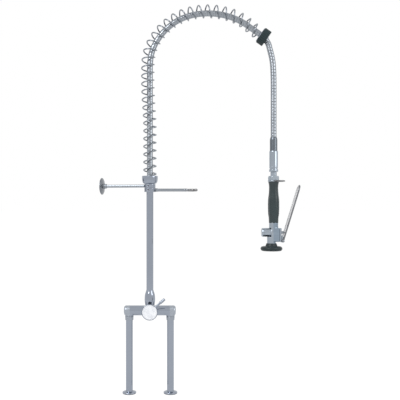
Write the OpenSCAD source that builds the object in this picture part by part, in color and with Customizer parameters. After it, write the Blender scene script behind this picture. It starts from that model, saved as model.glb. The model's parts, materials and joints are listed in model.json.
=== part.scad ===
// Two-pillar deck-mounted pre-rinse faucet: single-lever mixer bar, riser with a
// wall bracket and a spray holder, spring-carried hose and squeeze-lever spray.
// Millimetres, +Z up, +X towards the spray, -Y towards the user.
// The origin lies on the deck, midway between the two pillars.

/* [Pillars and mixer bar] */
// Distance between the hot and cold pillar axes
pillar_spacing = 150; // [145:1:160]
// Outer diameter of each pillar
pillar_d = 25.4; // [25:0.1:25.8]
// Diameter of the round deck flanges
flange_d = 50.4; // [46:0.2:60]
// Height of the mixer bar's axis above the deck
bar_height = 302; // [290:1:312]
// Diameter of the mixer bar
bar_d = 36.5; // [36.5:0.1:38]
// How far the bar runs past each pillar axis
bar_overhang = 19.5; // [18.5:0.5:22]
// Core radius of the threaded inlet in each pillar foot
inlet_r = 9.3; // [8.5:0.1:10]
// Depth of the threaded inlet
inlet_depth = 15; // [12:1:25]

/* [Mixer handle] */
// Diameter of the round handle cap
cap_d = 58; // [56:0.5:60]
// Distance of the cap's front face from the bar axis
cap_front = 46; // [46:0.5:48]
// Angle of the handle pin above the horizontal
pin_angle = 41; // [30:1:60]
// Distance of the pin's tip from the cap's axis
pin_reach = 72; // [60:1:90]

/* [Riser and its arms] */
// Outer diameter of the riser tube
riser_d = 25.4; // [25:0.1:25.8]
// Height of the underside of the lower arm ring
rings_base = 734.4; // [600:0.1:740]
// Height of one arm ring
ring_h = 14.4; // [13:0.1:16]
// Outer diameter of the arm rings
ring_d = 41; // [40:0.5:44]
// Diameter of the two arm rods
arm_d = 11; // [10:0.5:12]
// Direction of the wall bracket's rod, counter-clockwise from +X
bracket_angle = 168; // [150:1:190]
// Distance of the rosette's wall face from the riser axis
bracket_reach = 184; // [150:1:250]
// Diameter of the wall rosette
rosette_d = 62; // [56:1:70]
// Distance of the hook's centre from the riser axis
hook_reach = 151; // [120:1:180]
// Clear width inside the hook
hook_clear_d = 26; // [24:0.5:28]
// Diameter of the spring cup
cup_d = 58; // [57:0.5:60]

/* [Spring and hose] */
// Outer diameter of the arch spring
spring_d = 50; // [48:0.5:51]
// Diameter of the spring wire
spring_wire = 5; // [4:0.1:5]
// Rise of one curl where the spring stands straight
straight_pitch = 28.6; // [26:0.1:32]
// Rise of one curl along the arch
arch_pitch = 30.7; // [28:0.1:34]
// Outer diameter of the ribbed hose
hose_d = 22; // [20:0.5:22]
// Bore of the ribbed hose
hose_bore_d = 13; // [10:0.5:14]
// Distance from one rib of the hose to the next
rib_pitch = 10; // [10:0.5:14]
// Diameter of the black nut at the spring's end
spring_nut_d = 61; // [58:1:64]
// Length of that nut
spring_nut_l = 27; // [26:0.5:28]

/* [Spray] */
// Distance of the spray's axis from the riser axis
spray_x = 452; // [452:1:452]
// Distance of the spray head's axis from the riser axis
head_x = 444; // [443:0.5:446]
// Diameter of the rubber bumper
bumper_d = 79; // [74:1:84]
// Height of the rubber bumper
bumper_h = 17.5; // [17:0.5:19]
// Lean of the squeeze lever from the vertical
lever_lean = 17.1; // [17:0.1:18]
// Distance from the lever's pivot to the middle of its top bend
lever_l = 210.3; // [200:0.1:215]
// Diameter of the lever's wire
lever_wire = 6; // [5:0.5:6]
// Distance between the middles of the lever's two strands
lever_w = 36; // [36:0.5:40]

/* [Hidden] */
$fn = 64;
fit = 0.05;          // radial clearance of a turning or sliding fit
gap = 0.3;           // clearance between parts that move past each other

bar_r = bar_d / 2;
bar_half = pillar_spacing / 2 + bar_overhang;
pillar_r = pillar_d / 2;
riser_r = riser_d / 2;
gasket_h = 1.5;
lug_nut_r = 15.5;                    // union nut, outside
lug_nut_h = 15.2;
lug_nut_top = bar_height - 18.8;
lug_nut_base = lug_nut_top - lug_nut_h;
collar_h = 3;                        // collar that each union nut pulls up
washer_h = 2;
inlet_leg_base = lug_nut_base + 2 * collar_h + washer_h;
waterway_r = 7.5;
passage_y = 5;                       // supply passages run behind the cartridge
passage_r = 5.5;

housing_r = 23;                      // round cartridge housing on the bar
housing_front = 27;
housing_back = 12;
cartridge_r = 17.5;
cartridge_base = 1;                  // all cartridge depths are measured towards -Y
cartridge_front = 22;
disc_h = 3;
tilt_depth = 17.4;                   // the handle tilts about this depth
ball_r = 4.5;
trunnion_r = 1.5;
stem_r = 4;
cap_r = cap_d / 2;
cap_wall = 3;
hub_r = 6.5;
cap_back = cap_front - 16;
pin_depth = cap_front - 8;

nut_top = bar_height + 74;           // top of the bell-shaped riser nut
spigot_top = bar_height + 43;
seal_h = 1.3;
riser_collar_r = 15;
riser_foot = spigot_top + seal_h + gap;
ring_gap = 0.4;
holder_z = rings_base + ring_h / 2;
bracket_z = rings_base + ring_h * 1.5 + ring_gap;
cup_base = rings_base + 2 * ring_h + 2 * ring_gap;
cup_floor = cup_base + 10;
cup_h = 29;
riser_top = cup_floor + 3;
screw_angle = 254;                   // grub screws look out of the front
arm_r = arm_d / 2;
hook_r = hook_clear_d / 2 + arm_r;   // middle of the hook's round bar
hook_tip = 23;                       // the hook ends this far past its half circle
hose_nut_top = riser_top + 15;
hose_r = hose_d / 2;
wire_r = spring_wire / 2;
coil_r = spring_d / 2 - wire_r;

nut_c = [416, 1300.5];               // centre of the black nut, [x, z]
nut_dip = 35.7;                      // its axis dips this much below the horizontal
nut_dir = [cos(nut_dip), -sin(nut_dip)];
drop_dip = 62;                       // dip of the hose as it leaves the nut
drop_dir = [cos(drop_dip), -sin(drop_dip)];
plate_h = 2.5;                       // chrome washer behind the black nut
elbow_depth = 6;                     // bend of the coupling, ahead of the nut's centre
drop_start = nut_c + elbow_depth * nut_dir + 5 * drop_dir;
sleeve_top = 934;
ferrule_top = 884;
ferrule_base = 808;

// Centre line of the hose inside the spring, [x, z], from the hose nut to the coupling.
arc_points = concat(
    [[0, hose_nut_top], [0, 850], [0, 920], [0, 990], [0, 1060], [0, 1130], [0, 1180],
     [1, 1210], [6, 1240], [16, 1268], [32, 1296], [56, 1325], [85, 1350], [117, 1368],
     [149, 1379], [181, 1385], [212, 1387], [244, 1385], [276, 1379], [308, 1369],
     [339, 1354], [367, 1335]],
    [nut_c - 30 * nut_dir, nut_c - 19 * nut_dir, nut_c - 8 * nut_dir]);
// Centre line of the spring, which rests against the outer side of the hose.
coil_points = concat(
    [[0, cup_floor], [0, 850], [0, 920], [0, 980], [-2.5, 1030], [-6, 1080], [-7.5, 1130],
     [-7.5, 1180], [-6.5, 1212], [-1.5, 1243], [9, 1272], [26, 1301], [50.5, 1330.5],
     [80.5, 1356], [114, 1375], [147.5, 1386.5], [180.5, 1392.5], [212, 1394.5],
     [245, 1392.5], [278, 1386], [310.5, 1375.5], [341.5, 1358.5], [368.5, 1337.5]],
    [nut_c - 26 * nut_dir, nut_c - (spring_nut_l / 2 + plate_h) * nut_dir]);
// Centre line of the free hose, from the coupling down to the sleeve.
drop_points = concat(
    [drop_start, drop_start + 11 * drop_dir, drop_start + 22 * drop_dir],
    [[437.5, 1258], [442, 1241], [446.5, 1221], [449.5, 1198], [451.3, 1165],
     [452, 1125], [452, 1070], [452, 1010], [452, 960], [452, sleeve_top]]);

grip_top = 772;
grip_base = 622;
tube_r = 8;
tube_bore_r = 5.5;
grip_nut_top = 792.8;
collar_top = 777.2;
clip_z = (grip_top + collar_top) / 2;
clip_wire_r = 2.5;
clip_half_w = 24;
clip_leg = 15.6;                     // straight part of the clip's legs
clip_pin_r = 1.5;
clip_ring_r = 21;
nipple_r = 11.5;
spigot_r = 9;
valve_z = 587;                       // height of the valve stem's axis
barrel_r = 16.2;
block_top = 603;
block_base = 553;
block_w = 33;
block_x0 = spray_x - 4;
block_x1 = spray_x + 20;
plate_x1 = spray_x + 26.6;
seat_x = head_x - 4;
stem_rod_r = 3;
stem_head_r = 5;
stem_tip = spray_x + 37.7;
cap_x0 = spray_x - 44.7;
cap_x1 = spray_x - 11;
pivot_x = spray_x + 32;
pivot_z = 556.5;
pivot_r = 2.5;
ear_y = 10;                          // inner faces of the stirrup's ears
ear_t = 4.5;
crossbar_l = 30.7;                   // the lever pushes the stem at this radius
head_r = 27;
head_top = 535;
stem_out_r = 16;                     // chrome stem between valve and head
bumper_base = 519;
bumper_top = bumper_base + bumper_h;
rose_z = bumper_base + 2;
rose_r = 24;

// ---- Helpers ----------------------------------------------------------------

// A ring with its axis on Z, from z0 to z1.
module ring(r_out, r_in, z0, z1) {
    translate([0, 0, z0]) difference() {
        cylinder(r = r_out, h = z1 - z0);
        translate([0, 0, -1]) cylinder(r = r_in, h = z1 - z0 + 2);
    }
}

// A round bar along X.
module bar_x(r, x0, x1) {
    translate([x0, 0, 0]) rotate([0, 90, 0]) cylinder(r = r, h = x1 - x0);
}

// A round bar along Y, from y0 to y1.
module bar_y(r, y0, y1) {
    translate([0, y0, 0]) rotate([-90, 0, 0]) cylinder(r = r, h = y1 - y0);
}

// A round bar towards -Y between two depths.
module bar_out(r, d0, d1) {
    bar_y(r, -d1, -d0);
}

// Moves its children to the left and to the right pillar.
module at_pillars() {
    for (side = [-1, 1]) translate([side * pillar_spacing / 2, 0, 0]) children();
}

// Places a shape, drawn upright with its length on Z, on the black nut's axis.
module on_nut_axis() {
    translate([nut_c[0], 0, nut_c[1]]) rotate([0, 90 + nut_dip, 0]) children();
}

// A cylinder whose two rims are chamfered by c.
module chamfered(r, z0, z1, c) {
    rotate_extrude() polygon([[0, z0], [r - c, z0], [r, z0 + c], [r, z1 - c], [r - c, z1],
        [0, z1]]);
}

// A point of the Catmull-Rom curve through four points.
function curve_point(p0, p1, p2, p3, t) =
    0.5 * (2 * p1 + (p2 - p0) * t + (2 * p0 - 5 * p1 + 4 * p2 - p3) * t * t
        + (3 * p1 - p0 - 3 * p2 + p3) * t * t * t);

// A smooth line through the points, with a number of steps from each to the next.
function smooth(points, steps) = let(last = len(points) - 1) concat(
    [for (i = [0:last - 1]) for (k = [0:steps - 1])
        curve_point(points[max(i - 1, 0)], points[i], points[i + 1],
            points[min(i + 2, last)], k / steps)],
    [points[last]]);

// The distance along the line of each of its points.
function distances(line) = [for (i = 0, s = 0; i < len(line);
    s = s + (i + 1 < len(line) ? norm(line[i + 1] - line[i]) : 0), i = i + 1) s];

// A route: its length and the tables that turn a distance into x and z.
function route(points) = let(line = smooth(points, 8), s = distances(line)) [
    s[len(s) - 1],
    [for (i = [0:len(s) - 1]) [s[i], line[i][0]]],
    [for (i = [0:len(s) - 1]) [s[i], line[i][1]]]];

function route_point(r, s) = [lookup(s, r[1]), 0, lookup(s, r[2])];
function route_dir(r, s) = let(
    a = route_point(r, max(s - 2, 0)),
    b = route_point(r, min(s + 2, r[0]))) (b - a) / norm(b - a);
// The outer side of the arch, square to the route.
function route_side(r, s) = let(d = route_dir(r, s)) [-d[2], 0, d[0]];

function loop_points(c, u, v, radius, sides) = [for (k = [0:sides - 1])
    c + radius * (cos(360 * k / sides) * u + sin(360 * k / sides) * v)];

// Triangles between neighbouring loops of points, from the first index on.
function skin(first, loops, sides, out) = [for (i = [0:loops - 2], k = [0:sides - 1])
    let(a = first + i * sides + k, b = first + i * sides + (k + 1) % sides)
    each (out ? [[a, b, a + sides], [b, b + sides, a + sides]]
        : [[a, a + sides, b], [b, a + sides, b + sides]])];

// Triangles across the wall of a tube, between an outer and an inner loop.
function rim(outer, inner, sides, start) = [for (k = [0:sides - 1])
    let(a = outer + k, b = outer + (k + 1) % sides, c = inner + k,
        d = inner + (k + 1) % sides)
    each (start ? [[a, c, b], [b, c, d]] : [[a, b, c], [b, d, c]])];

// Triangles that close a loop.
function disc(first, sides, start) = [for (k = [1:sides - 2])
    start ? [first, first + k + 1, first + k] : [first, first + k, first + k + 1]];

// A ribbed hose along a route: two loops of points a rib, and a plain bore.
module ribbed_hose(points) {
    sides = 8;
    rib_depth = 1.4;
    r = route(points);
    ribs = floor(r[0] / rib_pitch);
    half = r[0] / ribs / 2;
    bore_loops = ceil(ribs / 2) + 1;
    outer = [for (i = [0:2 * ribs]) let(s = i * half)
        each loop_points(route_point(r, s), route_side(r, s), [0, 1, 0],
            hose_r - (i % 2 == 0 ? rib_depth : 0), sides)];
    inner = [for (i = [0:bore_loops - 1]) let(s = r[0] * i / (bore_loops - 1))
        each loop_points(route_point(r, s), route_side(r, s), [0, 1, 0],
            hose_bore_d / 2, sides)];
    inner_first = len(outer);
    last_outer = 2 * ribs * sides;
    last_inner = inner_first + (bore_loops - 1) * sides;
    polyhedron(points = concat(outer, inner), faces = concat(
        skin(0, 2 * ribs + 1, sides, true),
        skin(inner_first, bore_loops, sides, false),
        rim(0, inner_first, sides, true),
        rim(last_outer, last_inner, sides, false)));
}

// ---- Deck, pillars and unions -------------------------------------------------

module foot_gaskets() {
    color([0.1, 0.1, 0.1]) at_pillars() ring(flange_d / 2 - 0.8, pillar_r, 0, gasket_h);
}

module deck_flange() {
    r = flange_d / 2;
    color([0.75, 0.76, 0.8]) difference() {
        rotate_extrude() polygon([[pillar_r + fit, gasket_h], [r - 0.5, gasket_h],
            [r, gasket_h + 0.5], [r, 4.6], [r - 0.9, 5.6], [r - 3.5, 6.6], [r - 7, 7.6],
            [pillar_r + 2.4, 8.6], [pillar_r + 1.2, 9.8], [pillar_r + fit, 9.8]]);
    }
}

module left_flange() {
    translate([-pillar_spacing / 2, 0, 0]) deck_flange();
}

module right_flange() {
    translate([pillar_spacing / 2, 0, 0]) deck_flange();
}

module pillar() {
    collar_base = lug_nut_base + collar_h;
    color([0.75, 0.76, 0.8]) difference() {
        union() {
            cylinder(r = pillar_r, h = collar_base + collar_h);
            translate([0, 0, collar_base]) cylinder(r = pillar_r + 0.9, h = collar_h);
        }
        translate([0, 0, -1]) cylinder(r = inlet_r, h = inlet_depth + 1);
        cylinder(r = waterway_r, h = bar_height);
    }
}

module left_pillar() {
    translate([-pillar_spacing / 2, 0, 0]) pillar();
}

module right_pillar() {
    translate([pillar_spacing / 2, 0, 0]) pillar();
}

module union_nut() {
    flat = 2 * lug_nut_r - 1.2;
    color([0.75, 0.76, 0.8]) difference() {
        intersection() {
            chamfered(lug_nut_r, lug_nut_base, lug_nut_top, 0.8);
            union() {
                translate([-flat / 2, -lug_nut_r, lug_nut_base]) cube([flat, 2 * lug_nut_r, 7]);
                translate([0, 0, lug_nut_base + 7]) cylinder(r = lug_nut_r + 1, h = lug_nut_h);
            }
        }
        translate([0, 0, lug_nut_base - 1]) cylinder(r = pillar_r + fit, h = lug_nut_h + 2);
        translate([0, 0, lug_nut_base + collar_h]) cylinder(r = pillar_r + 1.2, h = lug_nut_h);
    }
}

module left_union_nut() {
    translate([-pillar_spacing / 2, 0, 0]) union_nut();
}

module right_union_nut() {
    translate([pillar_spacing / 2, 0, 0]) union_nut();
}

module union_washers() {
    base = lug_nut_base + 2 * collar_h;
    color([0.12, 0.12, 0.13]) at_pillars() ring(pillar_r + 0.8, waterway_r + 1, base,
        base + washer_h);
}

module check_valves() {
    color([0.9, 0.9, 0.88]) at_pillars() difference() {
        ring(waterway_r, 5, inlet_leg_base, inlet_leg_base + 12);
        translate([0, 0, inlet_leg_base + 8]) cylinder(r = 6, h = 2);
    }
}

module mixer_body() {
    end_round = 10;
    port_x = 9;
    color([0.75, 0.76, 0.8]) difference() {
        union() {
            translate([0, 0, bar_height]) rotate([0, 90, 0]) rotate_extrude() {
                translate([0, -bar_half]) square([bar_r - end_round, 2 * bar_half]);
                translate([0, end_round - bar_half]) square([bar_r, 2 * (bar_half - end_round)]);
                intersection() {
                    for (side = [-1, 1]) translate([bar_r - end_round,
                        side * (bar_half - end_round)]) circle(r = end_round);
                    translate([0, -bar_half]) square([bar_r, 2 * bar_half]);
                }
            }
            at_pillars() translate([0, 0, lug_nut_top + 0.2])
                cylinder(r = lug_nut_r, h = bar_height - lug_nut_top);
            at_pillars() translate([0, 0, inlet_leg_base])
                cylinder(r = pillar_r + 1.1, h = bar_height - inlet_leg_base);
            translate([0, 0, bar_height]) intersection() {
                bar_out(housing_r, -housing_back, housing_front);
                translate([-30, -30, -30]) cube([60, 60, 51]);
            }
            translate([0, 0, bar_height]) cylinder(r = 17, h = 21);
            translate([0, 0, bar_height]) cylinder(r = riser_collar_r + 0.4,
                h = spigot_top - bar_height);
        }
        at_pillars() translate([0, 0, inlet_leg_base - 1])
            cylinder(r = waterway_r, h = bar_height - inlet_leg_base + 1);
        for (side = [-1, 1]) translate([0, passage_y, bar_height])
            bar_x(passage_r, side < 0 ? -pillar_spacing / 2 : port_x - 3,
                side < 0 ? 3 - port_x : pillar_spacing / 2);
        translate([0, 0, bar_height]) bar_out(cartridge_r + fit, cartridge_base, housing_front + 1);
        for (side = [-1, 1]) translate([side * port_x, 0, bar_height])
            bar_out(3.5, -passage_y, cartridge_base + 1);
        translate([0, 0, bar_height + port_x]) bar_out(4, -passage_y - 2, cartridge_base + 1);
        translate([0, 7, bar_height + port_x - 3]) cylinder(r = 4.6, h = 22);
        translate([0, 0, bar_height + 21]) cylinder(r = 8, h = 30);
    }
}

// ---- Cartridge and handle -------------------------------------------------------

// Ports through the cartridge base and the fixed disc.
module ports(d0, d1) {
    for (side = [-1, 1]) translate([side * 9, 0, 0]) bar_out(3, d0, d1);
    translate([0, 0, 9]) bar_out(3.5, d0, d1);
}

module cartridge_body() {
    floor_d = cartridge_base + 5;
    color([0.92, 0.92, 0.9]) translate([0, 0, bar_height]) difference() {
        bar_out(cartridge_r, cartridge_base, cartridge_front);
        bar_out(14.5, floor_d, cartridge_front - 2);
        bar_out(10.5, cartridge_front - 3, cartridge_front + 1);
        ports(0, floor_d + 1);
    }
}

module fixed_disc() {
    d = cartridge_base + 5;
    color([0.95, 0.94, 0.9]) translate([0, 0, bar_height]) difference() {
        bar_out(14.4, d, d + disc_h);
        ports(d - 1, d + disc_h + 1);
    }
}

module moving_disc() {
    d = cartridge_base + 5 + disc_h + 0.05;
    color([0.85, 0.84, 0.8]) translate([0, 0, bar_height]) rotate([0, -pin_angle, 0])
        difference() {
            bar_out(12.6, d, d + disc_h - 0.1);
            translate([-3, 0, 0]) bar_out(5.5, d - 1, d + disc_h - 1.2);
        }
}

module cartridge_nut() {
    color([0.72, 0.6, 0.35]) translate([0, 0, bar_height]) difference() {
        bar_out(cartridge_r, cartridge_front, housing_front);
        bar_out(11.6, cartridge_front - 1, housing_front + 1);
        for (a = [0:60:300]) rotate([0, a, 0]) translate([14.4, 0, 0])
            bar_out(1.6, housing_front - 2.5, housing_front + 1);
    }
}

// A dome round the tilting stem, centred on the point that the handle tilts about.
module dome_cover() {
    r = 24;
    rim_depth = housing_front - tilt_depth;
    color([0.75, 0.76, 0.8]) translate([0, -tilt_depth, bar_height]) rotate([90, 0, 0])
        difference() {
            sphere(r = r);
            sphere(r = r - 1.5);
            translate([0, 0, rim_depth - 100]) cylinder(r = 40, h = 100);
            cylinder(r = r * sin(40), h = 40);
        }
}

module turret() {
    d0 = cartridge_base + 5 + 2 * disc_h + 0.1;
    d1 = cartridge_front - 2 - gap;
    color([0.25, 0.3, 0.35]) translate([0, 0, bar_height]) rotate([0, -pin_angle, 0])
        difference() {
            union() {
                bar_out(14.2, d0, d1);
                bar_out(10.2, d1 - 1, 24);
            }
            translate([0, -tilt_depth, 0]) sphere(r = ball_r + gap);
            translate([-7.4, -25, -stem_r - gap]) cube([14.8, 25 - tilt_depth, 2 * (stem_r + gap)]);
            translate([0, -tilt_depth, 0]) cylinder(r = trunnion_r + fit, h = 20.4, center = true);
        }
}

// The spindle: a ball on trunnions, and the stem that the cap is fixed to.
module spindle() {
    color([0.8, 0.7, 0.45]) translate([0, 0, bar_height]) rotate([0, -pin_angle, 0])
        difference() {
            union() {
                translate([0, -tilt_depth, 0]) sphere(r = ball_r);
                translate([0, -tilt_depth, 0]) cylinder(r = trunnion_r, h = 19.6, center = true);
                bar_out(stem_r, tilt_depth, cap_front - 6.5);
            }
            bar_out(2.5, cap_front - 14, cap_front - 5);
        }
}

module handle_cap() {
    color([0.75, 0.76, 0.8]) translate([0, 0, bar_height]) rotate([0, -pin_angle, 0])
        difference() {
            rotate([90, 0, 0]) chamfered(cap_r, cap_back, cap_front, 1);
            difference() {
                bar_out(cap_r - cap_wall, cap_back - 1, cap_front - cap_wall);
                bar_out(hub_r, 0, cap_front);
            }
            bar_out(hub_r + 0.1, 0, cap_back + 1);
            bar_out(stem_r + 0.02, cap_back - 1, cap_front - 6.5);
            bar_out(cap_r - 2.5, cap_front - 1.2, cap_front + 1);
            bar_out(4.7, cap_front - 4, cap_front + 1);
            bar_out(2.6, cap_front - 8, cap_front + 1);
            translate([0, -pin_depth, 0]) bar_x(3, cap_r - cap_wall - 1, cap_r + 1);
        }
}

module cap_plate() {
    color([0.82, 0.83, 0.86]) translate([0, 0, bar_height])
        bar_out(cap_r - 2.55, cap_front - 1.2, cap_front - 0.1);
}

module cap_screw() {
    color([0.6, 0.6, 0.62]) translate([0, 0, bar_height]) difference() {
        union() {
            bar_out(4.5, cap_front - 4, cap_front - 1.4);
            bar_out(2.45, cap_front - 13, cap_front - 3);
        }
        rotate([90, 0, 0]) translate([0, 0, cap_front - 3]) cylinder(r = 1.7, h = 3, $fn = 6);
    }
}

module handle_pin() {
    color([0.75, 0.76, 0.8]) translate([0, -pin_depth, bar_height]) rotate([0, -pin_angle, 0])
        rotate([0, 90, 0]) rotate_extrude() polygon([[0, cap_r - cap_wall - 0.5],
            [2.95, cap_r - cap_wall - 0.5], [2.95, cap_r], [3.9, cap_r], [3.9, cap_r + 18],
            [5.2, cap_r + 21.5], [5.2, pin_reach - 2.4], [4.4, pin_reach - 0.7],
            [2.6, pin_reach], [0, pin_reach]]);
}

// ---- Riser ------------------------------------------------------------------------

module riser_nut() {
    base = bar_height + 21.2;
    color([0.75, 0.76, 0.8]) difference() {
        rotate_extrude() polygon([[0, base], [17.6, base], [18.3, base + 6],
            [19.2, base + 12], [19.6, base + 18], [19.4, base + 24], [19, base + 30],
            [18.2, base + 36.5], [17.1, base + 41], [15.7, base + 45], [14.4, base + 48.5],
            [13.8, nut_top - 1], [13.5, nut_top], [0, nut_top]]);
        translate([0, 0, base - 1]) cylinder(r = riser_collar_r + 0.5, h = 30.8);
        cylinder(r = riser_r + fit, h = nut_top + 1);
    }
}

module riser_seals() {
    foot = riser_foot + 3.5;
    color([0.12, 0.12, 0.13]) {
        ring(riser_collar_r, 9, spigot_top, spigot_top + seal_h);
        ring(riser_collar_r + 0.3, riser_r + gap, foot + gap, foot + 1.6);
    }
}

module riser_tube() {
    color([0.75, 0.76, 0.8]) difference() {
        union() {
            translate([0, 0, riser_foot]) cylinder(r = riser_r, h = riser_top - riser_foot);
            translate([0, 0, riser_foot]) cylinder(r = riser_collar_r, h = 3.5);
        }
        translate([0, 0, riser_foot - 1]) cylinder(r = 10, h = riser_top);
    }
}

// A ring on the riser with a socket for its rod and a hole for its grub screw.
module arm_ring(z, rod_angle) {
    color([0.75, 0.76, 0.8]) translate([0, 0, z]) difference() {
        chamfered(ring_d / 2, -ring_h / 2, ring_h / 2, 0.8);
        cylinder(r = riser_r + fit, h = ring_h + 2, center = true);
        rotate([0, 0, screw_angle]) bar_x(3, riser_r - 1, ring_d / 2 + 1);
        rotate([0, 0, rod_angle]) bar_x(4, ring_d / 2 - 6, ring_d / 2 + 1);
    }
}

module grub_screw(z) {
    tail = riser_r + gap;
    color([0.35, 0.36, 0.38]) translate([0, 0, z]) rotate([0, 0, screw_angle]) difference() {
        bar_x(2.95, tail, ring_d / 2 - 1);
        translate([ring_d / 2 - 4, 0, 0]) rotate([0, 90, 0]) cylinder(r = 1.7, h = 4, $fn = 6);
    }
}

module bracket_ring() {
    arm_ring(bracket_z, bracket_angle);
}

module bracket_screw() {
    grub_screw(bracket_z);
}

module bracket_rod() {
    color([0.72, 0.73, 0.77]) translate([0, 0, bracket_z]) rotate([0, 0, bracket_angle]) {
        bar_x(3.95, ring_d / 2 - 6, ring_d / 2);
        bar_x(arm_r, ring_d / 2, bracket_reach - 3);
    }
}

// The rosette lies against the wall with its back, and its domed face looks at the riser.
module wall_rosette() {
    r = rosette_d / 2;
    color([0.7, 0.71, 0.75]) translate([0, 0, bracket_z]) rotate([0, 0, bracket_angle])
        translate([bracket_reach, 0, 0]) rotate([0, -90, 0]) difference() {
            rotate_extrude() polygon([[0, 0], [r - 0.5, 0], [r, 0.5], [r, 2.2], [r - 1.2, 3.4],
                [r - 6, 5.2], [r - 12, 6.8], [12.5, 7.8], [10.5, 8.8], [9.4, 10.4],
                [9.4, 12.6], [8.8, 13.2], [0, 13.2]]);
            translate([0, 0, 3]) cylinder(r = arm_r + 0.02, h = 20);
            for (a = [90:120:330]) rotate([0, 0, a]) translate([22, 0, -1]) cylinder(r = 2.4, h = 12);
        }
}

module rod_locknut() {
    color([0.6, 0.61, 0.65]) translate([0, 0, bracket_z]) rotate([0, 0, bracket_angle])
        translate([bracket_reach - 13.2, 0, 0]) rotate([0, -90, 0]) difference() {
            cylinder(r = 9.8, h = 6, $fn = 6);
            translate([0, 0, -1]) cylinder(r = arm_r + 0.02, h = 8);
        }
}

module holder_ring() {
    arm_ring(holder_z, 0);
}

module holder_screw() {
    grub_screw(holder_z);
}

// The rod and its open hook, which takes the spray's neck from the front.
module holder_hook() {
    color([0.72, 0.73, 0.77]) translate([0, 0, holder_z]) {
        bar_x(3.95, ring_d / 2 - 6, ring_d / 2);
        bar_x(arm_r, ring_d / 2, hook_reach - hook_r);
        bar_x(arm_r + 0.8, ring_d / 2, ring_d / 2 + 8);
        translate([hook_reach, 0, 0]) {
            rotate([0, 0, -hook_tip]) rotate_extrude(angle = 180 + 2 * hook_tip)
                translate([hook_r, 0]) circle(r = arm_r - 0.3);
            for (a = [-hook_tip, 180 + hook_tip]) rotate([0, 0, a]) translate([hook_r, 0, 0])
                rotate([a < 0 ? 90 : -90, 0, 0])
                    cylinder(r1 = arm_r - 0.4, r2 = arm_r - 2.4, h = 2);
        }
    }
}

module spring_cup() {
    r = cup_d / 2;
    top = cup_base + cup_h;
    color([0.75, 0.76, 0.8]) rotate_extrude() polygon([[riser_r, cup_base],
        [ring_d / 2, cup_base], [24.2, cup_base + 2.6], [26.6, cup_base + 6],
        [28, cup_base + 10.5], [r - 0.3, cup_base + 15], [r, cup_base + 20], [r, top - 0.8],
        [r - 0.6, top], [r - 1.8, top], [r - 2.1, top - 1], [r - 2.5, cup_base + 15],
        [r - 3.2, cup_floor + 0.6], [r - 3.8, cup_floor], [riser_r, cup_floor]]);
}

module hose_nut() {
    color([0.7, 0.71, 0.75]) difference() {
        union() {
            translate([0, 0, cup_floor]) cylinder(r = 17.3, h = 12, $fn = 6);
            translate([0, 0, cup_floor]) cylinder(r = 12.5, h = hose_nut_top - cup_floor);
        }
        translate([0, 0, cup_floor - 1]) cylinder(r = riser_r, h = riser_top - cup_floor + 1);
        cylinder(r = hose_bore_d / 2, h = hose_nut_top + 1);
        translate([0, 0, cup_floor - 1]) cylinder(r = 10, h = riser_top - cup_floor + 1);
    }
}

// ---- Spring, hose and their end fittings ---------------------------------------------

module arc_hose() {
    color([0.6, 0.62, 0.66]) ribbed_hose(arc_points);
}

module drop_hose() {
    color([0.6, 0.62, 0.66]) ribbed_hose(drop_points);
}

coil_route = route(coil_points);
coil_len = coil_route[0];
straight_len = 440;                  // the spring stands straight up to here
first_left = 40.7;                   // the first curl passes the outer side here
tang = 2 * wire_r;                   // straight end of the wire
bend_r = 7;                          // bend from the straight end into the first curl
bend_rise = tang + bend_r * sin(78);
bend_turn = bend_r * (1 - cos(78)) / coil_r * 180 / PI;
curl_loops = 8;

// The angle of the wire round the centre line at a distance along it.
function curl_angle(s) = 360 * (min(s, straight_len) - first_left) / straight_pitch
    + 360 * max(s - straight_len, 0) / arch_pitch;

first_angle = curl_angle(bend_rise) - bend_turn;
last_angle = curl_angle(coil_len - bend_rise) + bend_turn;
curls = (last_angle - first_angle) / 360;
coil_steps = ceil(curls * curl_loops);

// Each entry of the wire's path: distance along the centre line, angle round it.
wire_path = concat(
    [[0, first_angle], [tang, first_angle]],
    [for (b = [26, 52]) [tang + bend_r * sin(b),
        first_angle + bend_r * (1 - cos(b)) / coil_r * 180 / PI]],
    [for (i = [0:coil_steps]) let(s = bend_rise + (coil_len - 2 * bend_rise) * i / coil_steps)
        [s, curl_angle(s)]],
    [for (b = [52, 26]) [coil_len - tang - bend_r * sin(b),
        last_angle - bend_r * (1 - cos(b)) / coil_r * 180 / PI]],
    [[coil_len - tang, last_angle], [coil_len, last_angle]]);

function wire_out(p) = cos(p[1]) * route_side(coil_route, p[0]) - sin(p[1]) * [0, 1, 0];
function wire_point(p) = route_point(coil_route, p[0]) + coil_r * wire_out(p);

wire_points = [for (p = wire_path) wire_point(p)];
wire_last = len(wire_points) - 1;
function wire_dir(i) = let(
    a = i == 1 ? wire_points[0] : wire_points[max(i - 1, 0)],
    b = i == wire_last - 1 ? wire_points[wire_last] : wire_points[min(i + 1, wire_last)],
    d = i == 1 ? wire_points[1] - wire_points[0]
        : i == wire_last - 1 ? wire_points[wire_last] - wire_points[wire_last - 1] : b - a)
    d / norm(d);

// The least space between one curl and the next, measured over the path's points.
curl_gap = min([for (i = [0:wire_last], j = [i + 5:i + 12]) if (j <= wire_last)
    norm(wire_points[i] - wire_points[j])]) - spring_wire;
echo(curls = curls, curl_gap = curl_gap);

module arc_spring() {
    sides = 6;
    loops = [for (i = [0:wire_last]) let(d = wire_dir(i), n = wire_out(wire_path[i]),
        v = cross(d, n), w = v / norm(v), u = cross(w, d))
        each loop_points(wire_points[i], u, w, wire_r, sides)];
    color([0.7, 0.71, 0.75]) polyhedron(points = loops, faces = concat(
        skin(0, wire_last + 1, sides, true),
        disc(0, sides, true), disc(wire_last * sides, sides, false)));
}

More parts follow.
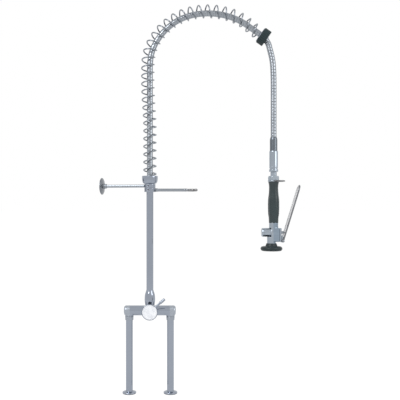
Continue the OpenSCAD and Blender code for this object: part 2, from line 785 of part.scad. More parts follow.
module spring_plate() {
    back = -spring_nut_l / 2;
    color([0.75, 0.76, 0.8]) on_nut_axis() ring(27, hose_r + 0.6, back - plate_h, back);
}

module spring_nut() {
    r = spring_nut_d / 2;
    half = spring_nut_l / 2;
    color([0.1, 0.14, 0.15]) on_nut_axis() difference() {
        chamfered(r, -half, half, 1.2);
        translate([0, 0, -half - 1]) cylinder(r = 16.5, h = spring_nut_l + 2);
    }
}

// An elbow inside the black nut that joins the two hoses.
module hose_coupling() {
    color([0.7, 0.71, 0.75]) difference() {
        union() {
            on_nut_axis() translate([0, 0, -8]) cylinder(r = 12, h = 8 + elbow_depth);
            on_nut_axis() translate([0, 0, -8]) cylinder(r = 16.5, h = 4);
            translate([nut_c[0] + elbow_depth * nut_dir[0], 0, nut_c[1] + elbow_depth * nut_dir[1]])
                sphere(r = 13.4);
        }
        on_nut_axis() translate([0, 0, -9]) cylinder(r = hose_bore_d / 2, h = 9 + elbow_depth);
        translate([nut_c[0] + elbow_depth * nut_dir[0], 0, nut_c[1] + elbow_depth * nut_dir[1]])
            rotate([0, 90 + drop_dip, 0]) {
                sphere(r = hose_bore_d / 2 + 1.2);
                cylinder(r = hose_bore_d / 2, h = 20);
                translate([0, 0, 5]) cylinder(r = 20, h = 20);
            }
    }
}

module hose_sleeve() {
    color([0.25, 0.29, 0.32]) translate([spray_x, 0, 0]) difference() {
        union() {
            translate([0, 0, ferrule_top]) rotate_extrude() polygon([[0, 0], [13.6, 0],
                [13.6, sleeve_top - ferrule_top - 8], [12.4, sleeve_top - ferrule_top - 3],
                [11.6, sleeve_top - ferrule_top], [0, sleeve_top - ferrule_top]]);
            translate([0, 0, ferrule_top - 24]) cylinder(r = 10.9, h = 25);
        }
        translate([0, 0, ferrule_top - 25]) cylinder(r = hose_bore_d / 2, h = 80);
    }
}

module swivel_ferrule() {
    color([0.78, 0.8, 0.84]) translate([spray_x, 0, 0]) difference() {
        rotate_extrude() polygon([[0, ferrule_base], [16.2, ferrule_base],
            [16.6, ferrule_base + 0.6], [16.6, ferrule_base + 8], [16, ferrule_base + 9],
            [14.6, ferrule_base + 9.6], [14.6, ferrule_base + 13], [15.7, ferrule_base + 14.2],
            [15.7, ferrule_top - 2.4], [15, ferrule_top], [0, ferrule_top]]);
        translate([0, 0, ferrule_base - 1]) cylinder(r = spigot_r + fit, h = 60);
        translate([0, 0, ferrule_base + 36]) cylinder(r = 11, h = 60);
    }
}

// ---- Spray -----------------------------------------------------------------------------

module spray_nipple() {
    spigot_end = ferrule_base + 44;
    color([0.78, 0.8, 0.84]) translate([spray_x, 0, 0]) difference() {
        union() {
            translate([0, 0, grip_nut_top - 8]) cylinder(r = nipple_r,
                h = ferrule_base - gap - grip_nut_top + 8);
            translate([0, 0, grip_nut_top]) cylinder(r = spigot_r, h = spigot_end - grip_nut_top);
            translate([0, 0, ferrule_base + 36 + gap]) cylinder(r = 10.7, h = 4);
        }
        translate([0, 0, grip_nut_top - 9]) cylinder(r = tube_bore_r, h = 100);
    }
}

module grip_nut() {
    color([0.75, 0.76, 0.8]) translate([spray_x, 0, 0]) difference() {
        intersection() {
            translate([0, 0, collar_top]) cylinder(r = 20.2, h = grip_nut_top - collar_top, $fn = 6);
            rotate_extrude() polygon([[0, collar_top], [20.3, collar_top],
                [20.3, grip_nut_top - 5], [18.2, grip_nut_top], [0, grip_nut_top]]);
        }
        translate([0, 0, collar_top - 1]) cylinder(r = tube_r, h = 20);
        translate([0, 0, grip_nut_top - 8]) cylinder(r = nipple_r, h = 20);
    }
}

module clip_ring() {
    color([0.8, 0.82, 0.86]) translate([spray_x, 0, 0]) difference() {
        chamfered(clip_ring_r, grip_top, collar_top, 0.6);
        translate([0, 0, grip_top - 1]) cylinder(r = tube_r, h = 10);
        for (side = [-1, 1]) translate([0, 0, clip_z])
            bar_y(clip_pin_r + fit, side < 0 ? -clip_ring_r - 1 : clip_ring_r - 5,
                side < 0 ? 5 - clip_ring_r : clip_ring_r + 1);
    }
}

// Radius of the grip at a height, through a few stations from foot to flare.
grip_stations = [[622, 17.2], [640, 17.9], [656, 20], [682, 20.7], [706, 20.2],
    [728, 17.7], [748, 16.6], [763, 17.6], [772, 20.2]];

module grip() {
    outline = smooth(grip_stations, 4);
    color([0.1, 0.16, 0.17]) translate([spray_x, 0, 0]) rotate_extrude()
        polygon(concat([[tube_r, grip_base]], [for (p = outline) [p[1], p[0]]],
            [[tube_r, grip_top]]));
}

module grip_tube() {
    color([0.75, 0.76, 0.8]) translate([spray_x, 0, 0])
        ring(tube_r, tube_bore_r, 606, grip_nut_top - 8);
}

module valve_body() {
    chamber_r = 11.5;
    neck_r = 16.7;
    roof_z = head_top - 3;
    outlet_x = spray_x + 1;
    stem_step = valve_z - barrel_r - gap;    // the stem stops here under the spring cap
    neck_step = valve_z + barrel_r + gap;    // and the neck starts here above it
    color([0.78, 0.78, 0.86]) difference() {
        union() {
            translate([spray_x, 0, neck_step]) cylinder(r = neck_r, h = grip_base - neck_step);
            intersection() {
                translate([spray_x, 0, valve_z]) cylinder(r = neck_r, h = neck_step - valve_z + 1);
                translate([cap_x1, -20, valve_z - 2]) cube([40, 40, 30]);
            }
            translate([0, 0, valve_z]) bar_x(barrel_r, cap_x1, block_x1 - 2);
            translate([0, 0, valve_z]) bar_x(13, cap_x1 - 10, cap_x1 + 1);
            translate([block_x0, -block_w / 2, block_base])
                cube([block_x1 - block_x0, block_w, block_top - block_base]);
            translate([head_x, 0, head_top - 1]) cylinder(r = stem_out_r, h = stem_step - head_top + 1);
            intersection() {
                translate([head_x, 0, stem_step - 1]) cylinder(r = stem_out_r, h = valve_z - stem_step + 1);
                translate([cap_x1, -20, stem_step - 2]) cube([40, 40, 30]);
            }
            translate([head_x, 0, rose_z + 3]) cylinder(r = head_r, h = head_top - rose_z - 3);
        }
        translate([spray_x, 0, 606]) cylinder(r = tube_r, h = 20);
        translate([spray_x, 0, 607]) rotate([0, 180 + 50, 0]) cylinder(r = 2.5, h = 20);
        translate([0, 0, valve_z]) bar_x(chamber_r, cap_x1 - 11, seat_x);
        translate([0, 0, valve_z]) bar_x(4.5, seat_x - 1, seat_x + 5);
        translate([0, 0, valve_z]) bar_x(10, seat_x + 4, spray_x + 10);
        translate([0, 0, valve_z]) bar_x(9, spray_x + 9, block_x1 + 1);
        translate([outlet_x, 0, roof_z - 1]) cylinder(r = 4.2, h = valve_z - 8.5 - roof_z);
        translate([head_x, 0, 0]) ring(rose_r - 2, 3.6, rose_z + 2, roof_z);
        translate([head_x, 0, rose_z + 2]) cylinder(r = 2, h = 17);
        for (y = [-1, 1], z = [-1, 1]) translate([0, y * 11.5, 562 + z * 4])
            bar_x(1.6, block_x1 - 9, block_x1 + 1);
    }
}

module spring_cap() {
    color([0.72, 0.73, 0.78]) translate([0, 0, valve_z]) difference() {
        rotate([0, 90, 0]) rotate_extrude() polygon([[0, cap_x0], [barrel_r - 3, cap_x0],
            [barrel_r - 0.8, cap_x0 + 2.4], [barrel_r, cap_x0 + 4.5], [barrel_r, cap_x1],
            [0, cap_x1]]);
        bar_x(11.5, cap_x0 + 4, cap_x1 + 1);
        bar_x(13, cap_x1 - 10, cap_x1 + 1);
    }
}

module gland_nut() {
    color([0.7, 0.71, 0.75]) translate([0, 0, valve_z]) difference() {
        bar_x(9, spray_x + 10, plate_x1 + 1);
        bar_x(stem_head_r + fit, spray_x + 9, plate_x1 + 2);
    }
}

// A plate screwed to the valve body, with two ears that carry the lever's pivot.
module lever_stirrup() {
    color([0.75, 0.78, 0.84]) difference() {
        union() {
            translate([block_x1, -block_w / 2, block_base])
                cube([plate_x1 - block_x1, block_w, block_top - block_base]);
            for (side = [-1, 1]) translate([0, side * (ear_y + ear_t / 2), 0]) rotate([90, 0, 0])
                linear_extrude(height = ear_t, center = true) {
                    translate([pivot_x, pivot_z]) circle(r = 6);
                    polygon([[plate_x1 - 1, 551.5], [pivot_x + 0.5, 550.6],
                        [pivot_x + 6, 556.5], [pivot_x + 6, 568], [plate_x1 - 1, 578]]);
                }
        }
        translate([pivot_x, 0, pivot_z]) bar_y(pivot_r + 0.02, -20, 20);
        translate([0, 0, valve_z]) bar_x(9.02, block_x1 - 1, plate_x1 + 1);
    }
}

module valve_spring() {
    sides = 6;
    turns = 5;
    wire = 0.7;
    coil = 8.6;
    x0 = cap_x0 + 4 + wire;
    x1 = seat_x - 5.2 - wire;
    steps = turns * 8;
    color([0.6, 0.62, 0.65]) polyhedron(
        points = [for (i = [0:steps]) let(a = 360 * i / 8, out = [0, cos(a), sin(a)])
            each loop_points([x0 + (x1 - x0) * i / steps, 0, valve_z] + coil * out, out,
                [1, 0, 0], wire, sides)],
        faces = concat(skin(0, steps + 1, sides, false),
            disc(0, sides, false), disc(steps * sides, sides, true)));
}

module spray_plate() {
    color([0.8, 0.81, 0.84]) translate([head_x, 0, rose_z]) difference() {
        cylinder(r = rose_r, h = 3);
        translate([0, 0, -1]) cylinder(r = 2.1, h = 6);
        for (i = [1:3]) for (a = [0:60 / i:359]) rotate([0, 0, a]) translate([5.2 * i + 2.4, 0, -1])
            cylinder(r = 0.9, h = 6);
    }
}

module plate_screw() {
    color([0.6, 0.6, 0.62]) translate([head_x, 0, rose_z]) difference() {
        union() {
            translate([0, 0, -2]) cylinder(r = 3.8, h = 2);
            translate([0, 0, -0.5]) cylinder(r = 1.95, h = 14);
        }
        translate([-5, -0.6, -3]) cube([10, 1.2, 1.9]);
    }
}

module bumper() {
    edge = bumper_h / 2 - 0.4;
    mid = (bumper_base + bumper_top) / 2;
    outer = bumper_d / 2;
    color([0.1, 0.14, 0.15]) translate([head_x, 0, 0]) difference() {
        rotate_extrude() {
            translate([outer - edge, mid]) circle(r = edge);
            translate([0, bumper_base + 0.4]) square([outer - edge, bumper_h - 0.8]);
            polygon([[0, 530], [21.8, 530], [21.8, 539], [18.8, 545.4], [17.8, 547.4],
                [0, 547.4]]);
        }
        translate([0, 0, bumper_base - 1]) cylinder(r = rose_r, h = 6.1);
        translate([0, 0, rose_z + 3]) cylinder(r = head_r, h = head_top - rose_z - 3);
        cylinder(r = stem_out_r, h = 600);
    }
}

// ---- Moving parts of the spray -----------------------------------------------------------

// The lever's own frame: its length along Z from the pivot, leaning over towards +X.
module on_lever() {
    translate([pivot_x, 0, pivot_z]) rotate([0, lever_lean, 0]) children();
}

module squeeze_lever() {
    half = lever_w / 2;
    r = lever_wire / 2;
    straight = lever_l - half;
    color([0.72, 0.73, 0.77]) on_lever() difference() {
        union() {
            for (side = [-1, 1]) translate([0, side * half, 0]) {
                cylinder(r = r, h = straight);
                rotate([90, 0, 0]) cylinder(r = 4.8, h = lever_wire - 0.2, center = true);
            }
            translate([0, 0, straight]) rotate([0, 0, 90]) rotate([90, 0, 0])
                rotate_extrude(angle = 180) translate([half, 0]) circle(r = r);
            translate([0, 0, crossbar_l]) bar_y(r - 0.1, -half, half);
        }
        bar_y(pivot_r + 0.02, -half - r - 1, half + r + 1);
    }
}

module lever_pivot() {
    half = lever_w / 2 + lever_wire / 2;
    color([0.65, 0.66, 0.7]) translate([pivot_x, 0, pivot_z]) {
        bar_y(pivot_r - 0.03, -half, half);
        bar_y(4, half, half + 1.6);
        bar_y(4, -half - 1.6, -half);
    }
}

module valve_stem() {
    color([0.72, 0.73, 0.77]) translate([0, 0, valve_z]) {
        bar_x(stem_rod_r, seat_x - 11, spray_x + 11);
        rotate([0, 90, 0]) rotate_extrude() polygon([[0, spray_x + 10], [stem_head_r, spray_x + 10],
            [stem_head_r, stem_tip - 1], [stem_head_r - 1, stem_tip], [0, stem_tip]]);
        bar_x(9.4, seat_x - 5.1, seat_x - 3.9);
    }
}

module valve_disc() {
    color([0.12, 0.12, 0.13]) translate([0, 0, valve_z]) difference() {
        bar_x(8, seat_x - 3.9, seat_x - 0.05);
        bar_x(stem_rod_r, seat_x - 5, seat_x + 1);
    }
}

// A wire loop hinged on the clip ring, which drops over the squeezed lever.
module lock_clip() {
    pin_in = clip_ring_r - 4.5;
    color([0.65, 0.66, 0.7]) translate([spray_x, 0, clip_z]) {
        for (side = [-1, 1]) translate([0, side * clip_half_w, 0]) {
            bar_x(clip_wire_r, 0, clip_leg);
            sphere(r = clip_wire_r);
        }
        bar_y(clip_pin_r, pin_in, clip_half_w);
        bar_y(clip_pin_r, -clip_half_w, -pin_in);
        translate([clip_leg, 0, 0]) rotate([0, 0, -90]) rotate_extrude(angle = 180)
            translate([clip_half_w, 0]) circle(r = clip_wire_r);
    }
}

foot_gaskets();
left_flange();
right_flange();
left_pillar();
right_pillar();
left_union_nut();
right_union_nut();
union_washers();
check_valves();
mixer_body();
cartridge_body();
fixed_disc();
cartridge_nut();
dome_cover();
riser_nut();
riser_seals();
turret();
moving_disc();
spindle();
handle_cap();
cap_plate();
cap_screw();
handle_pin();
riser_tube();
spring_cup();
hose_nut();
arc_hose();
arc_spring();
spring_plate();
spring_nut();
hose_coupling();
drop_hose();
hose_sleeve();
swivel_ferrule();
bracket_ring();
bracket_screw();
bracket_rod();
rod_locknut();
wall_rosette();
holder_ring();
holder_screw();
holder_hook();
spray_nipple();
grip_nut();
clip_ring();
grip();
grip_tube();
valve_body();
spring_cap();
gland_nut();
lever_stirrup();
valve_spring();
spray_plate();
plate_screw();
bumper();
squeeze_lever();
lever_pivot();
valve_stem();
valve_disc();
lock_clip();
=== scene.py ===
"""Looks for a deck-mounted pre-rinse faucet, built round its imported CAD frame."""
import json
import math

import bmesh
import bpy
import numpy as np
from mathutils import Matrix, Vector


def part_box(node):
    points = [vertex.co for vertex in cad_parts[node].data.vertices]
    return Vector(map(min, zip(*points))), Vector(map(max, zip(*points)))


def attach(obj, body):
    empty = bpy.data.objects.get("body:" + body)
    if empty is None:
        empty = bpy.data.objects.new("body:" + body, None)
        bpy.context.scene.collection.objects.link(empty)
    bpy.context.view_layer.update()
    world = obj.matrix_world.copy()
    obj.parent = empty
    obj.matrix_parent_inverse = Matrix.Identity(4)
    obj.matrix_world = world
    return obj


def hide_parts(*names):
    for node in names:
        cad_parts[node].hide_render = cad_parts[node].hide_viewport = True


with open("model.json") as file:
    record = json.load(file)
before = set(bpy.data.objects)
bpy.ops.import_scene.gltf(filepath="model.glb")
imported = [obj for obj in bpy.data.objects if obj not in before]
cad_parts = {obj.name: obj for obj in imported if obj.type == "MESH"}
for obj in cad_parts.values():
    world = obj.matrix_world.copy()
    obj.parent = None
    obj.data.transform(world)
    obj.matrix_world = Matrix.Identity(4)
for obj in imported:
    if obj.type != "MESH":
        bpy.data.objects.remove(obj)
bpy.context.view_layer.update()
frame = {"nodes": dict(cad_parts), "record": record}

MM = 0.001
NODES = frame["nodes"]
BODY_OF = {n: b for b, ns in frame["record"]["behaviour"]["bodies"].items() for n in ns}
X, Y, Z = np.eye(3)

# ---- Camera -------------------------------------------------------------------

camera_data = bpy.data.cameras.new("camera")
camera_data.lens = 56.66
camera_data.sensor_width = 36
camera_data.shift_x = 0.0842
camera_data.shift_y = 0.01047
camera_data.clip_start = 0.05
camera_data.clip_end = 100
camera = bpy.data.objects.new("camera", camera_data)
camera.location = (0.060, -2.300, 0.690)
camera.rotation_euler = (math.radians(90), 0, 0)
bpy.context.scene.collection.objects.link(camera)
bpy.context.scene.camera = camera

# ---- Routes, in millimetres, as in the CAD source --------------------------------

PILLAR_X = 75
BAR_Z = 302
VALVE_Z = 587
SPRAY_X = 452
HEAD_X = 444
NUT_C = np.array([416, 0, 1300.5])
NUT_DIP, DROP_DIP = math.radians(35.7), math.radians(62)
NUT_DIR = np.array([math.cos(NUT_DIP), 0, -math.sin(NUT_DIP)])
DROP_DIR = np.array([math.cos(DROP_DIP), 0, -math.sin(DROP_DIP)])
DROP_START = NUT_C + 6 * NUT_DIR + 5 * DROP_DIR


def xz(*pairs):
    return [np.array([x, 0.0, z]) for x, z in pairs]


ARC_POINTS = xz(
    (0, 792), (0, 850), (0, 920), (0, 990), (0, 1060), (0, 1130), (0, 1180), (1, 1210),
    (6, 1240), (16, 1268), (32, 1296), (56, 1325), (85, 1350), (117, 1368), (149, 1379),
    (181, 1385), (212, 1387), (244, 1385), (276, 1379), (308, 1369), (339, 1354),
    (367, 1335)) + [NUT_C - d * NUT_DIR for d in (30, 19, 8)]
COIL_POINTS = xz(
    (0, 774), (0, 850), (0, 920), (0, 980), (-2.5, 1030), (-6, 1080), (-7.5, 1130),
    (-7.5, 1180), (-6.5, 1212), (-1.5, 1243), (9, 1272), (26, 1301), (50.5, 1330.5),
    (80.5, 1356), (114, 1375), (147.5, 1386.5), (180.5, 1392.5), (212, 1394.5),
    (245, 1392.5), (278, 1386), (310.5, 1375.5), (341.5, 1358.5),
    (368.5, 1337.5)) + [NUT_C - d * NUT_DIR for d in (26, 16)]
DROP_POINTS = [DROP_START, DROP_START + 11 * DROP_DIR, DROP_START + 22 * DROP_DIR] + xz(
    (437.5, 1258), (442, 1241), (446.5, 1221), (449.5, 1198), (451.3, 1165), (452, 1125),
    (452, 1070), (452, 1010), (452, 960), (452, 934))


class Route:
    """A smooth line in the plane y = 0, read by the distance along it."""

    def __init__(self, points, steps=24):
        p = [points[0]] + list(points) + [points[-1]]
        line = []
        for p0, p1, p2, p3 in zip(p, p[1:], p[2:], p[3:]):
            for t in np.arange(steps) / steps:
                line.append(0.5 * (2 * p1 + (p2 - p0) * t + (2 * p0 - 5 * p1 + 4 * p2 - p3) * t * t
                                   + (3 * p1 - p0 - 3 * p2 + p3) * t ** 3))
        self.line = np.array(line + [points[-1]])
        gaps = np.linalg.norm(np.diff(self.line, axis=0), axis=1)
        self.s = np.concatenate([[0], np.cumsum(gaps)])
        self.length = self.s[-1]

    def at(self, s):
        return np.stack([np.interp(s, self.s, self.line[:, a]) for a in range(3)], -1)

    def along(self, s):
        s = np.asarray(s, float)
        d = self.at(np.minimum(s + 2, self.length)) - self.at(np.maximum(s - 2, 0))
        return d / np.linalg.norm(d, axis=-1, keepdims=True)

    def side(self, s):
        d = self.along(s)
        return np.stack([-d[..., 2], 0 * d[..., 0], d[..., 0]], -1)


# ---- Mesh helpers -------------------------------------------------------------------


def make_piece(name, points, faces, node, crease=48, groove_shade=None):
    """A mesh from points in millimetres, riding on its node's body and standing for it."""
    mesh = bpy.data.meshes.new(name)
    mesh.from_pydata([tuple(p) for p in np.asarray(points) * MM], [], [tuple(map(int, f)) for f in faces])
    # An optional point attribute of painted shade, read by the hose's material.
    if groove_shade is not None:
        layer = mesh.attributes.new("groove_shade", "FLOAT", "POINT")
        layer.data.foreach_set("value", np.asarray(groove_shade, np.float32))
    bm = bmesh.new()
    bm.from_mesh(mesh)
    bmesh.ops.remove_doubles(bm, verts=bm.verts, dist=2e-6)
    bmesh.ops.dissolve_degenerate(bm, edges=bm.edges, dist=1e-7)
    bmesh.ops.recalc_face_normals(bm, faces=bm.faces)
    bm.to_mesh(mesh)
    bm.free()
    mesh.polygons.foreach_set("use_smooth", [True] * len(mesh.polygons))
    mesh.set_sharp_from_angle(angle=math.radians(crease))
    piece = bpy.data.objects.new(name, mesh)
    bpy.context.scene.collection.objects.link(piece)
    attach(piece, BODY_OF[node])
    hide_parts(node)
    return piece


def rounded(profile, radius=0.5, steps=3, closed=False):
    """The profile with its corners turned into arcs; a third number at a point is its own radius."""
    pts = [np.array(p[:2], float) for p in profile]
    radii = [p[2] if len(p) > 2 else radius for p in profile]
    n, out = len(pts), []
    for i, (p, r) in enumerate(zip(pts, radii)):
        if not closed and i in (0, n - 1) or r <= 0:
            out.append(p)
            continue
        a, b = pts[i - 1] - p, pts[(i + 1) % n] - p
        la, lb = np.linalg.norm(a), np.linalg.norm(b)
        a, b = a / la, b / lb
        turn = math.acos(np.clip(-a @ b, -1, 1))
        if turn < math.radians(4):
            out.append(p)
            continue
        reach = min(r * math.tan(turn / 2), 0.45 * la, 0.45 * lb)
        s, e = p + a * reach, p + b * reach
        for k in range(steps + 1):
            t = k / steps
            out.append((1 - t) ** 2 * s + 2 * t * (1 - t) * p + t * t * e)
    return out


def held(profile, closed, edge=0.5, least=10.0):
    """The profile with a point near both ends of every long line, which keeps its shading straight."""
    out, n = [], len(profile)
    for i, p in enumerate(profile):
        out.append(p)
        line = profile[(i + 1) % n] - p
        length = np.linalg.norm(line)
        if length > least and (closed or i < n - 1):
            out += [p + line * edge / length, p + line * (1 - edge / length)]
    return out


def axes_for(axis):
    w = np.array(axis, float) / np.linalg.norm(axis)
    u = np.cross(Y if abs(w[1]) < 0.9 else Z, w)
    u /= np.linalg.norm(u)
    return u, np.cross(w, u), w


def grid_faces(rows, sides, closed_rows=False):
    faces = []
    for i in range(rows if closed_rows else rows - 1):
        a, b = i * sides, (i + 1) % rows * sides
        faces += [(a + k, a + (k + 1) % sides, b + (k + 1) % sides, b + k) for k in range(sides)]
    return faces


def turned(profile, centre=(0, 0, 0), axis=Z, sides=96, closed=False, steps=3, shape=None):
    """Points and faces of a turned form: profile of (radius, height) about an axis through centre."""
    prof = np.array(held(rounded(profile, steps=steps, closed=closed), closed))
    u, v, w = axes_for(axis)
    angle = 2 * np.pi * np.arange(sides) / sides
    r = prof[:, 0:1] * np.ones(sides)
    h = prof[:, 1:2] * np.ones(sides)
    if shape is not None:
        r, h = shape(r, h, angle)
    pts = (np.array(centre) + r[..., None] * (np.cos(angle)[:, None] * u + np.sin(angle)[:, None] * v)
           + h[..., None] * w)
    rows = len(prof)
    faces = grid_faces(rows, sides, closed)
    if not closed:
        for row in (0, rows - 1):
            if prof[row, 0] > 1e-6:
                faces.append(tuple(row * sides + k for k in range(sides)))
    return pts.reshape(-1, 3), faces


def swept(path, radii, side, sides=24, round_ends=True):
    """Points and faces of a bar along a path. side holds one direction square to the path a point."""
    path, radii = np.asarray(path, float), np.broadcast_to(radii, len(path)).astype(float)
    d = np.gradient(path, axis=0)
    d /= np.linalg.norm(d, axis=1, keepdims=True)
    v = np.cross(d, side)
    v /= np.linalg.norm(v, axis=1, keepdims=True)
    u = np.cross(v, d)
    if round_ends:
        caps = [(1 - math.cos(a), math.sin(a)) for a in np.radians([4, 25, 45, 65])]
        lead = [(path[0] + d[0] * radii[0] * c * 0.6, radii[0] * s, u[0], v[0]) for c, s in caps]
        tail = [(path[-1] - d[-1] * radii[-1] * c * 0.6, radii[-1] * s, u[-1], v[-1]) for c, s in caps]
        keep = slice(1, -1)
        rings = lead + list(zip(path[keep], radii[keep], u[keep], v[keep])) + tail[::-1]
    else:
        rings = list(zip(path, radii, u, v))
    angle = 2 * np.pi * np.arange(sides) / sides
    pts = []
    for c, r, a, b in rings:
        pts.append(c + r * (np.cos(angle)[:, None] * a + np.sin(angle)[:, None] * b))
    faces = grid_faces(len(rings), sides)
    faces.append(tuple(range(sides)))
    faces.append(tuple((len(rings) - 1) * sides + k for k in range(sides)))
    return np.concatenate(pts), faces


def joined(*parts):
    points, faces, first = [], [], 0
    for p, f in parts:
        points.append(np.asarray(p))
        faces += [tuple(first + i for i in face) for face in f]
        first += len(p)
    return np.concatenate(points), faces


# ---- Distance fields, for cast and milled bodies with filleted joins -------------------


def box_field(p, low, high, r=1.0):
    low, high = np.array(low, float), np.array(high, float)
    q = np.abs(p - (low + high) / 2) - (high - low) / 2 + r
    return np.linalg.norm(np.maximum(q, 0), axis=1) + np.minimum(q.max(axis=1), 0) - r


def rod_field(p, a, b, radius, r=0.6):
    a, b = np.array(a, float), np.array(b, float)
    w, length = (b - a) / np.linalg.norm(b - a), np.linalg.norm(b - a)
    q = p - (a + b) / 2
    h = q @ w
    out = np.linalg.norm(q - h[:, None] * w, axis=1)
    d = np.stack([out - radius + r, np.abs(h) - length / 2 + r], -1)
    return np.linalg.norm(np.maximum(d, 0), axis=1) + np.minimum(d.max(axis=1), 0) - r


def hex_field(p, centre, axis, across, half, r=0.6, turn=0.0):
    """A hexagonal prism; across is the distance from its axis to a flat."""
    u, v, w = axes_for(axis)
    q = p - np.array(centre, float)
    a, b, h = q @ u, q @ v, q @ w
    turns = [turn + 2 * math.pi * k / 6 for k in range(6)]
    flats = np.stack([a * math.cos(angle) + b * math.sin(angle) for angle in turns]).max(axis=0)
    d = np.stack([flats - across + r, np.abs(h) - half + r], -1)
    return np.linalg.norm(np.maximum(d, 0), axis=1) + np.minimum(d.max(axis=1), 0) - r


def joint(a, b, k=2.0):
    """Union with a fillet of about k."""
    h = np.maximum(k - np.abs(a - b), 0) / k
    return np.minimum(a, b) - h * h * k / 4


def cut(a, b, k=0.5):
    """a without b, the rim eased by about k."""
    h = np.maximum(k - np.abs(a + b), 0) / k
    return np.maximum(a, -b) + h * h * k / 4


def net(field, low, high, step):
    """A quad mesh over the zero surface of a field, its points pulled onto the surface."""
    axes = [np.arange(a - 2.5 * step, b + 2.5 * step, step) for a, b in zip(low, high)]
    grid = np.stack(np.meshgrid(*axes, indexing="ij"), -1)
    inside = (field(grid.reshape(-1, 3)) < 0).reshape(grid.shape[:3])
    n = np.array(inside.shape)
    count = sum(inside[i:n[0] - 1 + i, j:n[1] - 1 + j, k:n[2] - 1 + k].astype(int)
                for i in (0, 1) for j in (0, 1) for k in (0, 1))
    mixed = (count > 0) & (count < 8)
    index = np.full(mixed.shape, -1)
    index[mixed] = np.arange(mixed.sum())
    cells = np.argwhere(mixed)
    points = np.stack([axes[a][cells[:, a]] for a in range(3)], -1) + step / 2
    quads = []
    for a in range(3):
        b, c = np.eye(3, dtype=int)[(a + 1) % 3], np.eye(3, dtype=int)[(a + 2) % 3]
        lower, upper = [slice(1, -1)] * 3, [slice(1, -1)] * 3
        lower[a], upper[a] = slice(0, -1), slice(1, None)
        s0, s1 = inside[tuple(lower)], inside[tuple(upper)]
        at = np.argwhere(s0 != s1)
        flip = s1[tuple(at.T)]
        at = at + b + c
        four = np.stack([index[tuple((at - o).T)] for o in (b + c, c, 0 * b, b)], -1)
        four[flip] = four[flip][:, ::-1]
        quads.append(four)
    e = 0.02 * step
    for _ in range(7):
        d = field(points)
        g = np.stack([field(points + e * a) - field(points - e * a) for a in (X, Y, Z)], -1) / (2 * e)
        size = np.maximum(np.linalg.norm(g, axis=1), 0.3)
        move = -(d / size ** 2)[:, None] * g
        far = np.linalg.norm(move, axis=1, keepdims=True)
        points = points + move * np.minimum(1, 0.6 * step / np.maximum(far, 1e-9))
    return points, np.concatenate(quads)


# ---- Materials ------------------------------------------------------------------------


class Shader:
    """A small builder for one procedural material."""

    def __init__(self, name):
        self.material = bpy.data.materials.new(name)
        self.material.use_nodes = True
        self.tree = self.material.node_tree
        self.tree.nodes.clear()
        self.bsdf = self.node("ShaderNodeBsdfPrincipled")
        out = self.node("ShaderNodeOutputMaterial")
        self.link(self.bsdf.outputs[0], out.inputs["Surface"])
        self.coords = self.node("ShaderNodeTexCoord").outputs["Object"]

    def node(self, kind, **settings):
        n = self.tree.nodes.new(kind)
        for key, value in settings.items():
            setattr(n, key, value)
        return n

    def link(self, a, b):
        self.tree.links.new(a, b)

    def stretched(self, scale):
        m = self.node("ShaderNodeMapping")
        m.inputs["Scale"].default_value = scale
        self.link(self.coords, m.inputs["Vector"])
        return m.outputs[0]

    def noise(self, scale, detail=3.0, rough=0.55, vector=None):
        n = self.node("ShaderNodeTexNoise")
        n.inputs["Scale"].default_value = scale
        n.inputs["Detail"].default_value = detail
        n.inputs["Roughness"].default_value = rough
        self.link(vector or self.coords, n.inputs["Vector"])
        return n.outputs["Fac"]

    def mapped(self, value, low, high, f0=0.3, f1=0.7):
        n = self.node("ShaderNodeMapRange")
        n.interpolation_type = "SMOOTHSTEP"
        for key, x in (("From Min", f0), ("From Max", f1), ("To Min", low), ("To Max", high)):
            n.inputs[key].default_value = x
        self.link(value, n.inputs["Value"])
        return n.outputs[0]

    def colours(self, value, stops):
        n = self.node("ShaderNodeValToRGB")
        ramp = n.color_ramp
        while len(ramp.elements) < len(stops):
            ramp.elements.new(0.5)
        for element, (at, colour) in zip(ramp.elements, stops):
            element.position = at
            element.color = (*colour, 1)
        self.link(value, n.inputs[0])
        return n.outputs["Color"]

    def mixed(self, fac, a, b):
        n = self.node("ShaderNodeMix")
        n.data_type = "RGBA"
        self.link(fac, n.inputs["Factor"])
        for value, socket in ((a, n.inputs["A"]), (b, n.inputs["B"])):
            if isinstance(value, tuple):
                socket.default_value = (*value, 1)
            else:
                self.link(value, socket)
        return n.outputs["Result"]

    def math(self, operation, a, b):
        n = self.node("ShaderNodeMath")
        n.operation = operation
        for value, socket in ((a, n.inputs[0]), (b, n.inputs[1])):
            if isinstance(value, (int, float)):
                socket.default_value = value
            else:
                self.link(value, socket)
        return n.outputs[0]

    def bump(self, height, strength, distance):
        n = self.node("ShaderNodeBump")
        n.inputs["Strength"].default_value = strength
        n.inputs["Distance"].default_value = distance
        self.link(height, n.inputs["Height"])
        return n.outputs[0]

    def set(self, **values):
        for key, value in values.items():
            socket = self.bsdf.inputs[key.replace("_", " ")]
            if isinstance(value, (int, float)):
                socket.default_value = value
            elif isinstance(value, tuple):
                socket.default_value = (*value, 1)
            else:
                self.link(value, socket)


def scaled(colour, k):
    return tuple(c * k for c in colour)


# The metals mirror a white room, so their written tones are taken down by this.
METAL_DEPTH = 0.6


